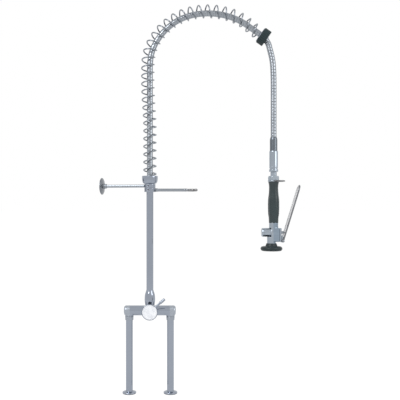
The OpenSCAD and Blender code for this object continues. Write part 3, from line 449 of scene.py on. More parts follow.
def metal(name, colour, low, high, haze=6.0, grain=None, grain_strength=0.08, spread=0.06):
    """Bare or plated metal: colour and roughness drift a little, and grain is a stretch of fine lines."""
    colour = scaled(colour, METAL_DEPTH)
    s = Shader(name)
    cloud = s.noise(haze, 4, 0.6)
    fine = s.noise(haze * 14, 3, 0.6)
    both = s.math("ADD", s.math("MULTIPLY", cloud, 0.7), s.math("MULTIPLY", fine, 0.3))
    base = s.colours(both, [(0.3, scaled(colour, 1 - spread)), (0.55, colour), (0.75, scaled(colour, 1 + spread))])
    rough = s.mapped(both, low, high)
    lines = s.noise(900, 2, 0.5, s.stretched(grain)) if grain else s.noise(420, 2, 0.5)
    normal = s.bump(lines, grain_strength, 0.0002)
    s.set(Base_Color=base, Metallic=1.0, Roughness=rough, Normal=normal)
    return s.material


def rubber(name, colour, low, high, scale=260, strength=0.25, distance=0.0003, specular=0.5):
    s = Shader(name)
    cloud = s.noise(9, 4, 0.6)
    fine = s.noise(scale, 4, 0.6)
    base = s.colours(cloud, [(0.3, scaled(colour, 0.8)), (0.7, scaled(colour, 1.25))])
    s.set(Base_Color=base, Roughness=s.mapped(fine, low, high), Specular_IOR_Level=specular,
          Normal=s.bump(fine, strength, distance))
    return s.material


CHROME_TONE = (0.495, 0.545, 0.635)
chrome = metal("chrome", CHROME_TONE, 0.05, 0.11, grain_strength=0.02)
chrome_bright = metal("chrome_bright", (0.555, 0.625, 0.705), 0.05, 0.11, haze=14, grain_strength=0.03, spread=0.07)
rod_steel = metal("rod_steel", (0.47, 0.51, 0.56), 0.14, 0.24, haze=20, grain_strength=0.10)
spring_steel = metal("spring_steel", (0.38, 0.415, 0.46), 0.10, 0.20, haze=30, grain_strength=0.10, spread=0.10)
clip_steel = metal("clip_steel", (0.27, 0.275, 0.285), 0.18, 0.3, haze=40, grain_strength=0.12, spread=0.12)
worn_steel = metal("worn_steel", (0.36, 0.385, 0.42), 0.16, 0.34, haze=45, grain_strength=0.15, spread=0.28)
dark_sleeve = metal("dark_sleeve", (0.235, 0.265, 0.30), 0.26, 0.36, haze=25, grain=(1, 1, 0.03), grain_strength=0.2)
screw_steel = metal("screw_steel", (0.28, 0.29, 0.32), 0.3, 0.42, haze=60, grain_strength=0.2)
brass = metal("brass", (0.62, 0.46, 0.20), 0.18, 0.3, haze=25, grain_strength=0.1)
inner_steel = metal("inner_steel", (0.5, 0.52, 0.55), 0.25, 0.4, haze=25, grain_strength=0.15)
black_grip = rubber("black_grip", (0.013, 0.027, 0.030), 0.20, 0.32, scale=320, strength=0.12, specular=0.55)
black_nut = rubber("black_nut", (0.014, 0.029, 0.033), 0.30, 0.46, scale=260, strength=0.18, specular=0.30)
bumper_rubber = rubber("bumper_rubber", (0.013, 0.024, 0.027), 0.34, 0.50, scale=380, strength=0.22, specular=0.35)
seal_rubber = rubber("seal_rubber", (0.015, 0.015, 0.017), 0.6, 0.8)
white_plastic = rubber("white_plastic", (0.78, 0.78, 0.75), 0.35, 0.5, strength=0.05)
ceramic = rubber("ceramic", (0.82, 0.80, 0.75), 0.15, 0.25, strength=0.03)


def hose_metal():
    """Strip-wound steel: the point attribute darkens the grooves between the bands with painted shade."""
    s = Shader("hose_metal")
    groove_shade = s.node("ShaderNodeAttribute", attribute_name="groove_shade").outputs["Fac"]
    cloud = s.noise(28, 4, 0.6)
    # groove is the colour of the painted shade in the grooves, the mid lines and the bore.
    dull, bright, groove = [scaled(c, METAL_DEPTH) for c in
                            ((0.46, 0.50, 0.55), (0.56, 0.60, 0.65), (0.20, 0.225, 0.255))]
    base = s.mixed(groove_shade, s.colours(cloud, [(0.3, dull), (0.7, bright)]), groove)
    s.set(Base_Color=base, Metallic=1.0, Roughness=s.mapped(s.noise(120, 3), 0.10, 0.18),
          Normal=s.bump(s.noise(700, 2), 0.06, 0.0002))
    return s.material


def plate_metal():
    """The cap's matt plate: fine blasted speckle with a soft cloudy colour."""
    s = Shader("plate_metal")
    cloud = s.noise(70, 5, 0.65)
    speck = s.noise(900, 3, 0.7)
    both = s.math("ADD", s.math("MULTIPLY", cloud, 0.6), s.math("MULTIPLY", speck, 0.4))
    base = s.colours(both, [(0.38, (0.70, 0.72, 0.77)), (0.5, (0.84, 0.86, 0.90)), (0.62, (0.96, 0.97, 0.99))])
    s.set(Base_Color=base, Metallic=0.55, Roughness=s.mapped(speck, 0.34, 0.5),
          Normal=s.bump(speck, 0.35, 0.0004))
    return s.material


def painted_reflection_metal(name, axis, start, end, first, second, low, high, haze=30):
    """Metal whose colour goes from first to second between two places along one axis, in metres: a painted
    reflection.
    """
    s = Shader(name)
    split = s.node("ShaderNodeSeparateXYZ")
    s.link(s.coords, split.inputs[0])
    cloud = s.noise(haze, 4, 0.6)
    first, second = scaled(first, METAL_DEPTH), scaled(second, METAL_DEPTH)
    place = s.math("ADD", split.outputs[axis], s.mapped(cloud, -0.001, 0.001))
    # Painted reflection: the colour changes from first to second along the axis, one part lighter and the other
    # darker.
    base = s.mixed(s.mapped(place, 0, 1, start, end), first, second)
    s.set(Base_Color=s.mixed(s.mapped(cloud, 0, 0.12), base, (0.30, 0.31, 0.33)), Metallic=1.0,
          Roughness=s.mapped(cloud, low, high), Normal=s.bump(s.noise(600, 2), 0.05, 0.0002))
    return s.material


def mixer_metal():
    """Polished between the pillars and satin on the two elbows, whose paler colour is a painted reflection."""
    s = Shader("mixer_chrome")
    split = s.node("ShaderNodeSeparateXYZ")
    s.link(s.coords, split.inputs[0])
    out = s.mapped(s.math("ABSOLUTE", split.outputs["X"], 0.0), 0, 1, 0.0705, 0.0745)
    cloud = s.noise(6, 4, 0.6)
    base = s.colours(cloud, [(at, scaled(CHROME_TONE, k * METAL_DEPTH)) for at, k in ((0.3, 0.95), (0.7, 1.05))])
    rough = s.math("ADD", s.mapped(cloud, 0.05, 0.10), s.math("MULTIPLY", out, 0.24))
    # On the elbows the colour is painted paler: a painted reflection.
    s.set(Base_Color=s.mixed(out, base, scaled((0.60, 0.655, 0.73), METAL_DEPTH)), Metallic=1.0, Roughness=rough,
          Normal=s.bump(s.noise(420, 2), 0.02, 0.0002))
    return s.material


hose_steel = hose_metal()
cap_face = plate_metal()
mixer_chrome = mixer_metal()
# Painted reflection: the squeeze lever's front leg is painted dark and its rear leg near-white.
lever_steel = painted_reflection_metal("lever_steel", "Y", -0.010, 0.006, (0.30, 0.31, 0.33), (0.95, 0.96, 0.98), 0.20, 0.34)
# Painted reflection: the valve casting is painted lighter on its left part and darker on its right part.
cast_chrome = painted_reflection_metal("cast_chrome", "X", 0.4465, 0.4505, (0.555, 0.625, 0.705), (0.42, 0.52, 0.63), 0.05, 0.12)
# Painted reflection: the hook's rod is painted lighter and its hook end darker grey.
hook_steel = painted_reflection_metal("hook_steel", "X", 0.12, 0.16, (0.47, 0.51, 0.56), (0.36, 0.36, 0.365), 0.14, 0.24)
satin_chrome = metal("satin_chrome", (0.53, 0.58, 0.65), 0.2, 0.32, haze=40, grain_strength=0.06, spread=0.08)
satin_steel = metal("satin_steel", (0.60, 0.68, 0.76), 0.26, 0.42, haze=60, grain_strength=0.08, spread=0.12)

# ---- Cord: the free hose from the black nut down to the sleeve -----------------------------


def strip_wound(route, pitch, radius, depth, rings=12, sides=40):
    """A strip-wound hose: broad rounded bands with a narrow groove and a fine mid line."""
    bands = max(1, round(route.length / pitch))
    phase = np.linspace(0, bands, bands * rings + 1)
    s = phase / bands * route.length
    f = phase % 1
    groove = np.exp(-((f - np.round(f)) / 0.10) ** 2)
    middle = np.exp(-((f - 0.5) / 0.07) ** 2)
    r = radius - depth * groove - depth * 0.4 * middle - 0.12 * depth * (2 * f - 1) ** 2
    centre, u = route.at(s), route.side(s)
    angle = 2 * np.pi * np.arange(sides) / sides
    pts = centre[:, None] + r[:, None, None] * (np.cos(angle)[:, None] * u[:, None]
                                                + np.sin(angle)[:, None] * Y)
    # Painted shade: darkest in the grooves, lighter on the fine mid lines.
    groove_shade = np.repeat(np.clip(groove * 0.75 + middle * 0.25, 0, 1), sides)
    faces = grid_faces(len(s), sides)
    bore, first = radius * 0.6, len(s) * sides
    inner_s = np.linspace(0, route.length, bands + 1)
    inner = (route.at(inner_s)[:, None] + bore * (np.cos(angle)[:, None] * route.side(inner_s)[:, None]
                                                  + np.sin(angle)[:, None] * Y))
    faces += [tuple(first + i for i in face) for face in grid_faces(len(inner_s), sides)]
    for outer_row, inner_row in ((0, first), ((len(s) - 1) * sides, first + bands * sides)):
        faces += [(outer_row + k, outer_row + (k + 1) % sides, inner_row + (k + 1) % sides, inner_row + k)
                  for k in range(sides)]
    # The bore is painted in shade as well.
    groove_shade = np.concatenate([groove_shade, np.full(len(inner_s) * sides, 0.6)])
    return np.concatenate([pts.reshape(-1, 3), inner.reshape(-1, 3)]), faces, groove_shade


def hose_piece(name, node, points, pitch, depth):
    route = Route(points)
    pts, faces, groove_shade = strip_wound(route, pitch, 11, depth)
    piece = make_piece(name, pts, faces, node, groove_shade=groove_shade, crease=80)
    piece.data.materials.append(hose_steel)
    return piece, route


drop_piece, drop_route = hose_piece("drop_hose_strip_wound", "drop_hose", DROP_POINTS, 11.9, 0.75)
[tuple(p) for p in drop_route.at(np.linspace(0, drop_route.length, 60)) * MM]
hose_piece("arc_hose_strip_wound", "arc_hose", ARC_POINTS, 10, 0.45)

# ---- Spring -------------------------------------------------------------------------------

COIL_R, WIRE_R = 22.5, 2.5
TANG, BEND_R, BEND = 5, 7, math.radians(78)             # the wire's straight ends and the bend into the coil
PHASE, STRAIGHT, PITCH, ARCH_PITCH = 40.7, 440, 28.6, 30.7
POINTS_A_TURN = 30


def spring_path():
    """Centre line of the wire and its outward directions."""
    route = Route(COIL_POINTS)

    def curl(s):
        return 360 * (np.minimum(s, STRAIGHT) - PHASE) / PITCH + 360 * np.maximum(s - STRAIGHT, 0) / ARCH_PITCH

    rise = TANG + BEND_R * math.sin(BEND)
    turn = math.degrees(BEND_R * (1 - math.cos(BEND)) / COIL_R)
    first, last = curl(rise) - turn, curl(route.length - rise) + turn
    bend = np.radians(np.arange(6, 76, 8))
    lift = np.degrees(BEND_R * (1 - np.cos(bend)) / COIL_R)
    body = np.linspace(rise, route.length - rise, int((last - first) / 360 * POINTS_A_TURN))
    s = np.concatenate([[0, 2, 4], TANG + BEND_R * np.sin(bend), body,
                        (route.length - TANG - BEND_R * np.sin(bend))[::-1],
                        route.length - np.array([4, 2, 0])])
    a = np.concatenate([[first] * 3, first + lift, curl(body), (last - lift)[::-1], [last] * 3])
    a = np.radians(a)[:, None]
    out = np.cos(a) * route.side(s) - np.sin(a) * Y
    return route.at(s) + COIL_R * out, out


wire, wire_out = spring_path()
spring = make_piece("arch_spring_wire", *swept(wire, WIRE_R, wire_out, sides=16), "arc_spring", crease=60)
spring.data.materials.append(spring_steel)

# ---- Deck, pillars and unions --------------------------------------------------------------


def add(name, shape, node, material, crease=48):
    piece = make_piece(name, *shape, node, crease)
    piece.data.materials.append(material)
    return piece


def flange(x):
    return turned([(12.75, 1.5, 0.2), (24.7, 1.5, 0.3), (25.2, 2.1, 0.3), (25.2, 4.4, 0.8), (24.3, 5.5, 0.8),
                   (21.7, 6.5, 3), (18.2, 7.5, 2), (15.1, 8.4, 0.8), (14.0, 9.8, 0.5), (12.75, 9.8, 0.15)],
                  (x, 0, 0), closed=True, steps=4)


def pillar(x):
    bore = [(9.3, 0.02, 0.2)]
    for i in range(7):
        z = 1.5 + i * 1.8
        bore += [(9.3, z, 0.1), (9.9, z + 0.9, 0.15)]
    profile = bore[::-1] + [(12.7, 0.02, 0.25), (12.7, 271.2, 0), (13.6, 271.2, 0.2), (13.6, 274.2, 0.2),
                            (7.5, 274.2, 0.3), (7.5, 15, 0.3), (9.3, 15, 0.3)]
    return turned(profile, (x, 0, 0), closed=True, sides=112)


def union_nut(x):
    flat = 14.9

    def flats(r, h, angle):
        side = np.abs(np.cos(angle))
        low = (h < 275.6) & (r > 14.6)
        limit = np.where(side > 1e-6, flat / np.maximum(side, 1e-6), 99)
        return np.where(low, np.minimum(r, limit), r), h

    profile = [(12.78, 268.02, 0.3), (15.5, 268.02, 0.7), (15.5, 274.6, 0), (15.5, 275.5, 0), (15.5, 275.7, 0),
               (15.5, 280.4, 0.3), (15.1, 280.8, 0.2), (15.1, 281.5, 0.2), (15.5, 281.9, 0.3),
               (15.5, 283.15, 0.5), (13.92, 283.15, 0.3), (13.92, 271.25, 0.2), (12.78, 271.25, 0.2)]
    return turned(profile, (x, 0, 0), closed=True, sides=120, shape=flats)


for tag, x in (("left", -PILLAR_X), ("right", PILLAR_X)):
    add(f"{tag}_deck_flange", flange(x), f"{tag}_flange", chrome)
    add(f"{tag}_inlet_pillar", pillar(x), f"{tag}_pillar", chrome)
    add(f"{tag}_coupling_nut", union_nut(x), f"{tag}_union_nut", satin_chrome)


def mixer_field(p):
    c = (0, 0, BAR_Z)
    d = rod_field(p, (-94.5, 0, BAR_Z), (94.5, 0, BAR_Z), 18.25, 8.5)
    for x in (-PILLAR_X, PILLAR_X):
        d = joint(d, rod_field(p, (x, 0, 283.4), (x, 0, 300), 15.4, 0.6), 3)
        d = np.minimum(d, rod_field(p, (x, 0, 276.5), (x, 0, 300), 13.75, 0.5))
    d = joint(d, rod_field(p, (0, 12, BAR_Z), (0, -27, BAR_Z), 23, 1.6), 5)
    d = cut(d, box_field(p, (-30, -30, 323), (30, 30, 340), 0.1), 0.8)
    d = joint(d, rod_field(p, c, (0, 0, 323), 17, 0.8), 3)
    d = np.minimum(d, rod_field(p, c, (0, 0, 344.9), 15.35, 0.6))
    d = cut(d, rod_field(p, (0, -1, BAR_Z), (0, -40, BAR_Z), 17.6, 0.1))
    d = cut(d, rod_field(p, (0, 0, 323), (0, 0, 360), 8, 0.1))
    for x in (-PILLAR_X, PILLAR_X):
        d = cut(d, rod_field(p, (x, 0, 270), (x, 0, 300), 7.5, 0.1))
    return d


add("mixer_casting", net(mixer_field, (-95, -27.5, 276), (95, 19, 345.5), 0.9), "mixer_body", mixer_chrome, crease=60)


def dome():
    profile = []
    for polar in np.linspace(66.5, 40, 14):
        a = math.radians(polar)
        profile.append((24 * math.sin(a), 24 * math.cos(a), 0))
    for polar in np.linspace(40, 64.5, 10):
        a = math.radians(polar)
        profile.append((22.5 * math.sin(a), 22.5 * math.cos(a), 0))
    return turned(profile, (0, -17.4, BAR_Z), -Y, closed=True)


add("cartridge_dome", dome(), "dome_cover", chrome)
add("riser_bell_nut", turned(
    [(12.75, 323.3, 0.2), (17.2, 323.3, 0.4), (17.7, 324, 0.5), (18.3, 329.2, 6), (19.2, 335.2, 8),
     (19.6, 341.2, 8), (19.4, 347.2, 8), (19, 353.2, 8), (18.2, 359.7, 8), (17.1, 364.2, 8),
     (15.7, 368.2, 6), (14.4, 371.7, 3), (13.8, 374.6, 0.6), (13.5, 376, 0.4), (12.75, 376, 0.2),
     (12.75, 354.1, 0.2), (15.9, 354.1, 0.2), (15.9, 323.6, 0.2)],
    closed=True, sides=128, steps=5), "riser_nut", chrome)

# ---- Handle ----------------------------------------------------------------------------------

HANDLE = (0, 0, BAR_Z)
PIN_ANGLE = math.radians(41)
add("mixer_handle_cap", turned(
    [(4.05, 30.3, 0.2), (6.5, 30.3, 0.5), (6.5, 42.8, 0.8), (26, 42.8, 1.2), (26, 30.4, 0.5), (28.2, 30.0, 0.8),
     (29, 31.4, 0.8), (29, 44.2, 1.2), (28.0, 45.9, 1.0), (26.8, 46.0, 0.5), (26.5, 44.85, 0.2),
     (4.7, 44.85, 0.2), (4.7, 42, 0.2), (4.05, 42, 0.2)],
    HANDLE, -Y, closed=True, sides=128, steps=4), "handle_cap", chrome)
add("mixer_cap_plate", turned(
    [(0, 44.9, 0), (26.3, 44.9, 0.2), (26.3, 45.6, 0.25), (25.6, 45.85, 0.3), (12, 45.88, 4), (0, 45.89, 0)],
    HANDLE, -Y, sides=96), "cap_plate", cap_face)
pin_axis = np.array([math.cos(PIN_ANGLE), 0, math.sin(PIN_ANGLE)])
add("mixer_handle_pin", turned(
    [(0, 25.6, 0), (2.9, 25.6, 0.3), (2.9, 29, 0), (3.9, 29, 0.2), (3.9, 46.5, 3), (4.1, 48.2, 3), (5.2, 50.8, 2.5),
     (5.2, 69.4, 2.0), (4.4, 71.3, 1.2), (2.6, 72, 0.8), (0, 72, 0)],
    (0, -38, BAR_Z), pin_axis, sides=48, steps=4), "handle_pin", chrome)

# ---- Riser and arms ----------------------------------------------------------------------------

add("riser_pipe", turned(
    [(10, 344.8, 0.2), (15, 344.8, 0.4), (15, 348.1, 0.4), (12.7, 348.3, 0.2), (12.7, 776.9, 0.4), (10, 776.9, 0.2)],
    closed=True, sides=112), "riser_tube", chrome)
add("spring_seat_cup", turned(
    [(12.72, 764, 0.1), (20.3, 764, 0.6), (24.2, 766.6, 5), (26.6, 770, 6), (28, 774.5, 8), (28.7, 779, 8),
     (29, 784, 6), (29, 791.8, 0.6), (28.2, 793, 0.5), (27.2, 793, 0.4), (26.9, 791.8, 0.5), (26.5, 779, 2),
     (25.8, 774.6, 0.5), (25.2, 774, 0.3), (12.72, 774, 0.1)],
    closed=True, sides=128, steps=4), "spring_cup", chrome)


def hex_nut(centre, axis, corner, half, bore, boss=None, turn=0.0):
    across = corner * math.cos(math.pi / 6)
    c, w = np.array(centre, float), np.array(axis, float) / np.linalg.norm(axis)

    def field(p):
        d = hex_field(p, c, w, across, half, 0.5, turn=turn)
        q = p - c
        h = np.abs(q @ w)
        out = np.linalg.norm(q - (q @ w)[:, None] * w, axis=1)
        d = np.maximum(d, (out - corner + 0.9 + (h - half) * 0.9) * 0.74)
        if boss:
            d = joint(d, rod_field(p, c + w * half * 0.5, c + w * (half + boss[1]), boss[0], 0.6), 0.8)
        return cut(d, rod_field(p, c - w * (half + 5), c + w * (half + 30), bore, 0.1), 0.6)
    return field


add("hose_seat_nut", net(hex_nut((0, 0, 780), Z, 17.3, 5.95, 10.05, (12.5, 9), math.pi / 6),
                         (-18, -18, 774), (18, 18, 795), 0.6), "hose_nut", rod_steel)


def ring_field(z, rod_turn):
    s = np.array([math.cos(SCREW_TURN), math.sin(SCREW_TURN), 0])
    r = np.array([math.cos(rod_turn), math.sin(rod_turn), 0])
    c = np.array([0, 0, z])

    def field(p):
        d = rod_field(p, c - 7.2 * Z, c + 7.2 * Z, 20.5, 1.0)
        d = cut(d, rod_field(p, c - 12 * Z, c + 12 * Z, 12.75, 0.1), 0.6)
        d = cut(d, rod_field(p, c + s * 10, c + s * 26, 3.0, 0.1), 0.8)
        return cut(d, rod_field(p, c + r * 14.5, c + r * 26, 4.02, 0.1), 0.3)
    return field


BRACKET_Z, HOLDER_Z = 756.4, 741.6
BRACKET_TURN, SCREW_TURN = math.radians(168), math.radians(254)
WALL_REACH, LOCKNUT_REACH = 184, 167.8
b_dir = np.array([math.cos(BRACKET_TURN), math.sin(BRACKET_TURN), 0])
b_origin = np.array([0, 0, BRACKET_Z])
add("wall_arm_ring", net(ring_field(BRACKET_Z, BRACKET_TURN), (-21, -21, 749), (21, 21, 764), 0.7),
    "bracket_ring", chrome, crease=60)
add("hook_arm_ring", net(ring_field(HOLDER_Z, 0), (-21, -21, 734), (21, 21, 749), 0.7),
    "holder_ring", chrome, crease=60)
add("wall_arm_rod", turned(
    [(0, 14.5, 0), (3.95, 14.5, 0.3), (3.95, 20.5, 0), (5.5, 20.55, 0.4), (5.5, 181, 0.5), (0, 181, 0)],
    b_origin, b_dir, sides=64), "bracket_rod", rod_steel)


def rosette():
    w = axes_for(-b_dir)[2]
    wall = b_origin + WALL_REACH * b_dir

    def field(p):
        q = p - wall
        h = q @ w
        out = np.linalg.norm(q - h[:, None] * w, axis=1)
        slope = np.interp(out, [0, 9.4, 9.4001, 10.5, 12.5, 19, 25, 29.8, 31],
                          [13.2, 13.2, 10.0, 8.9, 7.8, 6.8, 5.2, 3.3, 2.2])
        d = np.maximum.reduce([(h - slope) * 0.93, out - 31, -h])
        d = joint(d, rod_field(p, wall + 1 * w, wall + 13.2 * w, 9.4, 1.0), 2.0)
        d = np.maximum(d, -h)
        d = np.maximum(d, rod_field(p, wall, wall + 14 * w, 31, 1.0))
        d = cut(d, rod_field(p, wall + 3 * w, wall + 20 * w, 5.52, 0.1), 0.4)
        for a in np.radians([90, 210, 330]):
            c = wall + 22 * (math.cos(a) * Z + math.sin(a) * np.cross(w, Z))
            d = cut(d, rod_field(p, c - 3 * w, c + 14 * w, 2.4, 0.1), 1.2)
        return d
    low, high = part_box("wall_rosette")
    return net(field, np.array(low) / MM, np.array(high) / MM, 0.8)


add("wall_rosette_plate", rosette(), "wall_rosette", worn_steel, crease=55)
locknut = b_origin + LOCKNUT_REACH * b_dir
add("wall_arm_locknut", net(hex_nut(locknut, -b_dir, 9.8, 2.95, 5.53), locknut - 11, locknut + 11, 0.45),
    "rod_locknut", rod_steel)


def hook_shape():
    hook_x, mean, tube = 151, 18.5, 5.2

    def field(p):
        d = rod_field(p, (20.55, 0, HOLDER_Z), (133, 0, HOLDER_Z), 5.5, 0.5)
        d = joint(d, rod_field(p, (20.55, 0, HOLDER_Z), (28.5, 0, HOLDER_Z), 6.3, 0.8), 1.0)
        d = np.minimum(d, rod_field(p, (14.5, 0, HOLDER_Z), (22, 0, HOLDER_Z), 3.95, 0.3))
        q = p - np.array([hook_x, 0, HOLDER_Z])
        turn = np.degrees(np.arctan2(q[:, 1], q[:, 0]))
        turn = np.where(turn < -90, turn + 360, turn)
        within = np.radians(np.clip(turn, -23.6, 203.6))
        near = np.stack([mean * np.cos(within), mean * np.sin(within), 0 * within], -1)
        arc = np.linalg.norm(q - near, axis=1) - tube
        return joint(d, arc, 3.0)
    return net(field, (14, -15, HOLDER_Z - 6.5), (176, 25, HOLDER_Z + 6.5), 0.65)


add("spray_hook", hook_shape(), "holder_hook", hook_steel, crease=60)

# ---- End fittings of the spring and hose -------------------------------------------------------

add("spring_back_plate", turned(
    [(11.6, -16, 0.4), (26.2, -16, 0.5), (27, -15.5, 0.5), (27, -14, 0.5), (26.2, -13.5, 0.3), (11.6, -13.5, 0.4)],
    NUT_C, NUT_DIR, closed=True, sides=96), "spring_plate", chrome)


def fluted(r, h, angle):
    wave = 0.5 - 0.5 * np.cos(24 * angle)
    wave = np.clip(wave * 1.6, 0, 1)
    outer = np.clip((r - 27.5) / 2.5, 0, 1)
    return r - 1.5 * (1 - wave) * outer, h


add("spring_end_nut", turned(
    [(16.5, -13.45, 0.5), (28.9, -13.45, 0.8), (30, -12.9, 0.6), (30.5, -11.9, 0.8), (30.5, 0, 0),
     (30.5, 11.9, 0.8), (30, 12.9, 0.6), (28.9, 13.45, 0.8), (16.5, 13.45, 0.6)],
    NUT_C, NUT_DIR, closed=True, sides=240, steps=4, shape=fluted), "spring_nut", black_nut, crease=40)

add("hose_crimp_sleeve", turned(
    [(6.5, 860.2, 0.2), (10.9, 860.2, 0.4), (10.9, 884.05, 0), (13.5, 884.05, 0.4), (13.6, 885, 0.4),
     (13.6, 925.5, 3), (12.5, 931, 3), (11.7, 933.8, 0.6), (11.1, 934, 0.2), (6.5, 934, 0.2)],
    (SPRAY_X, 0, 0), closed=True, sides=96, steps=4), "hose_sleeve", dark_sleeve)
add("swivel_barrel", turned(
    [(9.05, 808, 0.3), (16.2, 808, 0.5), (16.6, 808.7, 0.6), (16.6, 815.8, 0.9), (16.0, 817, 0.6), (14.6, 817.6, 0.4),
     (14.6, 821, 0.4), (15.7, 822.2, 0.6), (15.7, 826.2, 0.2), (15.35, 826.6, 0.2), (15.35, 827.6, 0.2),
     (15.7, 828, 0.2), (15.7, 881.6, 1.0), (15.0, 884, 0.7), (11, 884, 0.3), (11, 844, 0.3), (9.05, 844, 0.2)],
    (SPRAY_X, 0, 0), closed=True, sides=112, steps=4), "swivel_ferrule", chrome_bright)

# ---- Spray ---------------------------------------------------------------------------------------

SPRAY = np.array([SPRAY_X, 0, 0])
CLIP_Z = 774.6
GRIP_LOW, GRIP_HIGH = 622, 772
add("spray_neck", turned(
    [(5.5, 784.9, 0.2), (11.5, 784.9, 0.3), (11.5, 806.6, 0.7), (10.9, 807.6, 0.3), (9, 807.7, 0.2), (9, 844.3, 0.2),
     (10.7, 844.3, 0.3), (10.7, 848.2, 0.3), (9, 848.2, 0.2), (9, 852, 0.4), (5.5, 852, 0.3)],
    SPRAY, closed=True, sides=96), "spray_nipple", chrome_bright)


def grip_nut_field(p):
    c = SPRAY + 785 * Z
    d = hex_field(p, c, Z, 20.2 * math.cos(math.pi / 6), 7.75, 0.7, turn=math.pi / 6)
    q = p - c
    out = np.linalg.norm(q[:, :2], axis=1)
    d = np.maximum(d, (out - 20.1 + (q[:, 2] - 3.2) * 0.5) * 0.89)
    d = np.maximum(d, (out - 19.7 - (q[:, 2] + 7.8) * 0.8) * 0.78)
    d = cut(d, rod_field(p, SPRAY + 760 * Z, SPRAY + 790 * Z, 8, 0.1), 0.3)
    return cut(d, rod_field(p, SPRAY + 784.8 * Z, SPRAY + 810 * Z, 11.5, 0.1), 0.5)


add("grip_hex_nut", net(grip_nut_field, (431, -18.5, 777), (473, 18.5, 793), 0.6), "grip_nut", satin_steel)


def clip_seat_field(p):
    d = rod_field(p, SPRAY + 772 * Z, SPRAY + 777.2 * Z, 21, 1.3)
    d = cut(d, rod_field(p, SPRAY + 760 * Z, SPRAY + 790 * Z, 8, 0.1), 0.3)
    for side in (-1, 1):
        a = SPRAY + CLIP_Z * Z
        d = cut(d, rod_field(p, a + side * 16 * Y, a + side * 26 * Y, 1.56, 0.1), 0.4)
    return d


add("clip_hinge_ring", net(clip_seat_field, (430.5, -21.5, 772), (473.5, 21.5, 777.3), 0.55),
    "clip_ring", chrome_bright, crease=60)

GRIP = [(GRIP_LOW, 17.2), (640, 17.9), (656, 20), (682, 20.7), (706, 20.2), (728, 17.7), (748, 16.6), (763, 17.6),
        (GRIP_HIGH, 20.2)]


def grip_shape():
    z = np.linspace(GRIP_LOW, GRIP_HIGH, 76)
    knots = Route([np.array([r, 0.0, h]) for h, r in GRIP])
    radius = np.interp(z, knots.line[:, 2], knots.line[:, 0])
    outer = [(r, h, 0) for r, h in zip(radius, z)]
    outer[0] = (outer[0][0] - 0.5, GRIP_LOW + 0.05, 0)
    outer[-1] = (outer[-1][0] - 0.5, GRIP_HIGH - 0.05, 0)
    outer[1] = (outer[1][0], outer[1][1] - 0.9, 0)
    outer[-2] = (outer[-2][0], outer[-2][1] + 0.9, 0)

    def lobes(r, h, angle):
        fade = np.clip((h - 632) / 16, 0, 1) * np.clip((758 - h) / 18, 0, 1)
        dip = np.clip(np.cos(10 * angle) * 1.4, -1, 1) * 0.5 + 0.5
        return np.where(r > 10, r - 0.75 * fade * (1 - dip), r), h

    return turned([(8, GRIP_LOW + 0.05, 0)] + outer + [(8, GRIP_HIGH - 0.05, 0)], SPRAY, closed=True, sides=160,
                  shape=lobes)


add("spray_hand_grip", grip_shape(), "grip", black_grip, crease=60)


def valve_field(p):
    v = VALVE_Z
    d = rod_field(p, SPRAY + v * Z, SPRAY + 622 * Z, 16.7, 0.8)
    d = joint(d, rod_field(p, (441, 0, v), (470, 0, v), 16.2, 0.6), 2.5)
    d = joint(d, box_field(p, (448, -16.5, 553), (472, 16.5, 603), 2.2), 2.5)
    d = joint(d, rod_field(p, (HEAD_X, 0, 530), (HEAD_X, 0, v), 16, 0.6), 2.5)
    d = cut(d, box_field(p, (400, -30, 570.6), (441, 30, 603.4), 0.1), 0.3)
    d = np.minimum(d, rod_field(p, (431.5, 0, v), (445, 0, v), 13, 0.5))
    d = joint(d, rod_field(p, (HEAD_X, 0, 524), (HEAD_X, 0, 535), 27, 0.6), 1.0)
    d = cut(d, rod_field(p, SPRAY + 606 * Z, SPRAY + 640 * Z, 8, 0.1), 0.4)
    d = cut(d, rod_field(p, (425, 0, v), (440, 0, v), 11.5, 0.1), 0.4)
    d = cut(d, rod_field(p, (439, 0, v), (446, 0, v), 4.5, 0.1), 0.2)
    d = cut(d, rod_field(p, (444, 0, v), (462, 0, v), 10, 0.1), 0.3)
    d = cut(d, rod_field(p, (460, 0, v), (480, 0, v), 9, 0.1), 0.4)
    d = cut(d, rod_field(p, (HEAD_X, 0, 515), (HEAD_X, 0, 540), 2.0, 0.1), 0.4)
    return d


add("valve_casting", net(valve_field, (417, -27, 523.5), (473, 27, 622.5), 0.8),
    "valve_body", cast_chrome, crease=60)
VALVE = (0, 0, VALVE_Z)
add("valve_spring_cap", turned(
    [(0, 407.3, 0), (13.0, 407.3, 1.2), (15.2, 409.3, 1.6), (16.2, 411.8, 1.6), (16.2, 415.0, 0.2),
     (15.6, 415.4, 0.2), (15.6, 416.6, 0.2), (16.2, 417.0, 0.2), (16.2, 437.2, 0.2), (15.7, 437.6, 0.2),
     (15.7, 438.6, 0.2), (16.2, 439, 0.2), (16.2, 441, 0.4), (13.05, 441, 0.2), (13.05, 431.2, 0.2),
     (11.5, 431.2, 0.2), (11.5, 411.4, 0.4), (0, 411.4, 0)],
    VALVE, X, sides=96), "spring_cap", chrome_bright)
add("valve_gland", turned(
    [(5.06, 462, 0.2), (9, 462, 0.3), (9, 478.6, 0.6), (8.2, 479.6, 0.4), (5.06, 479.6, 0.2)],
    VALVE, X, closed=True, sides=64), "gland_nut", rod_steel)


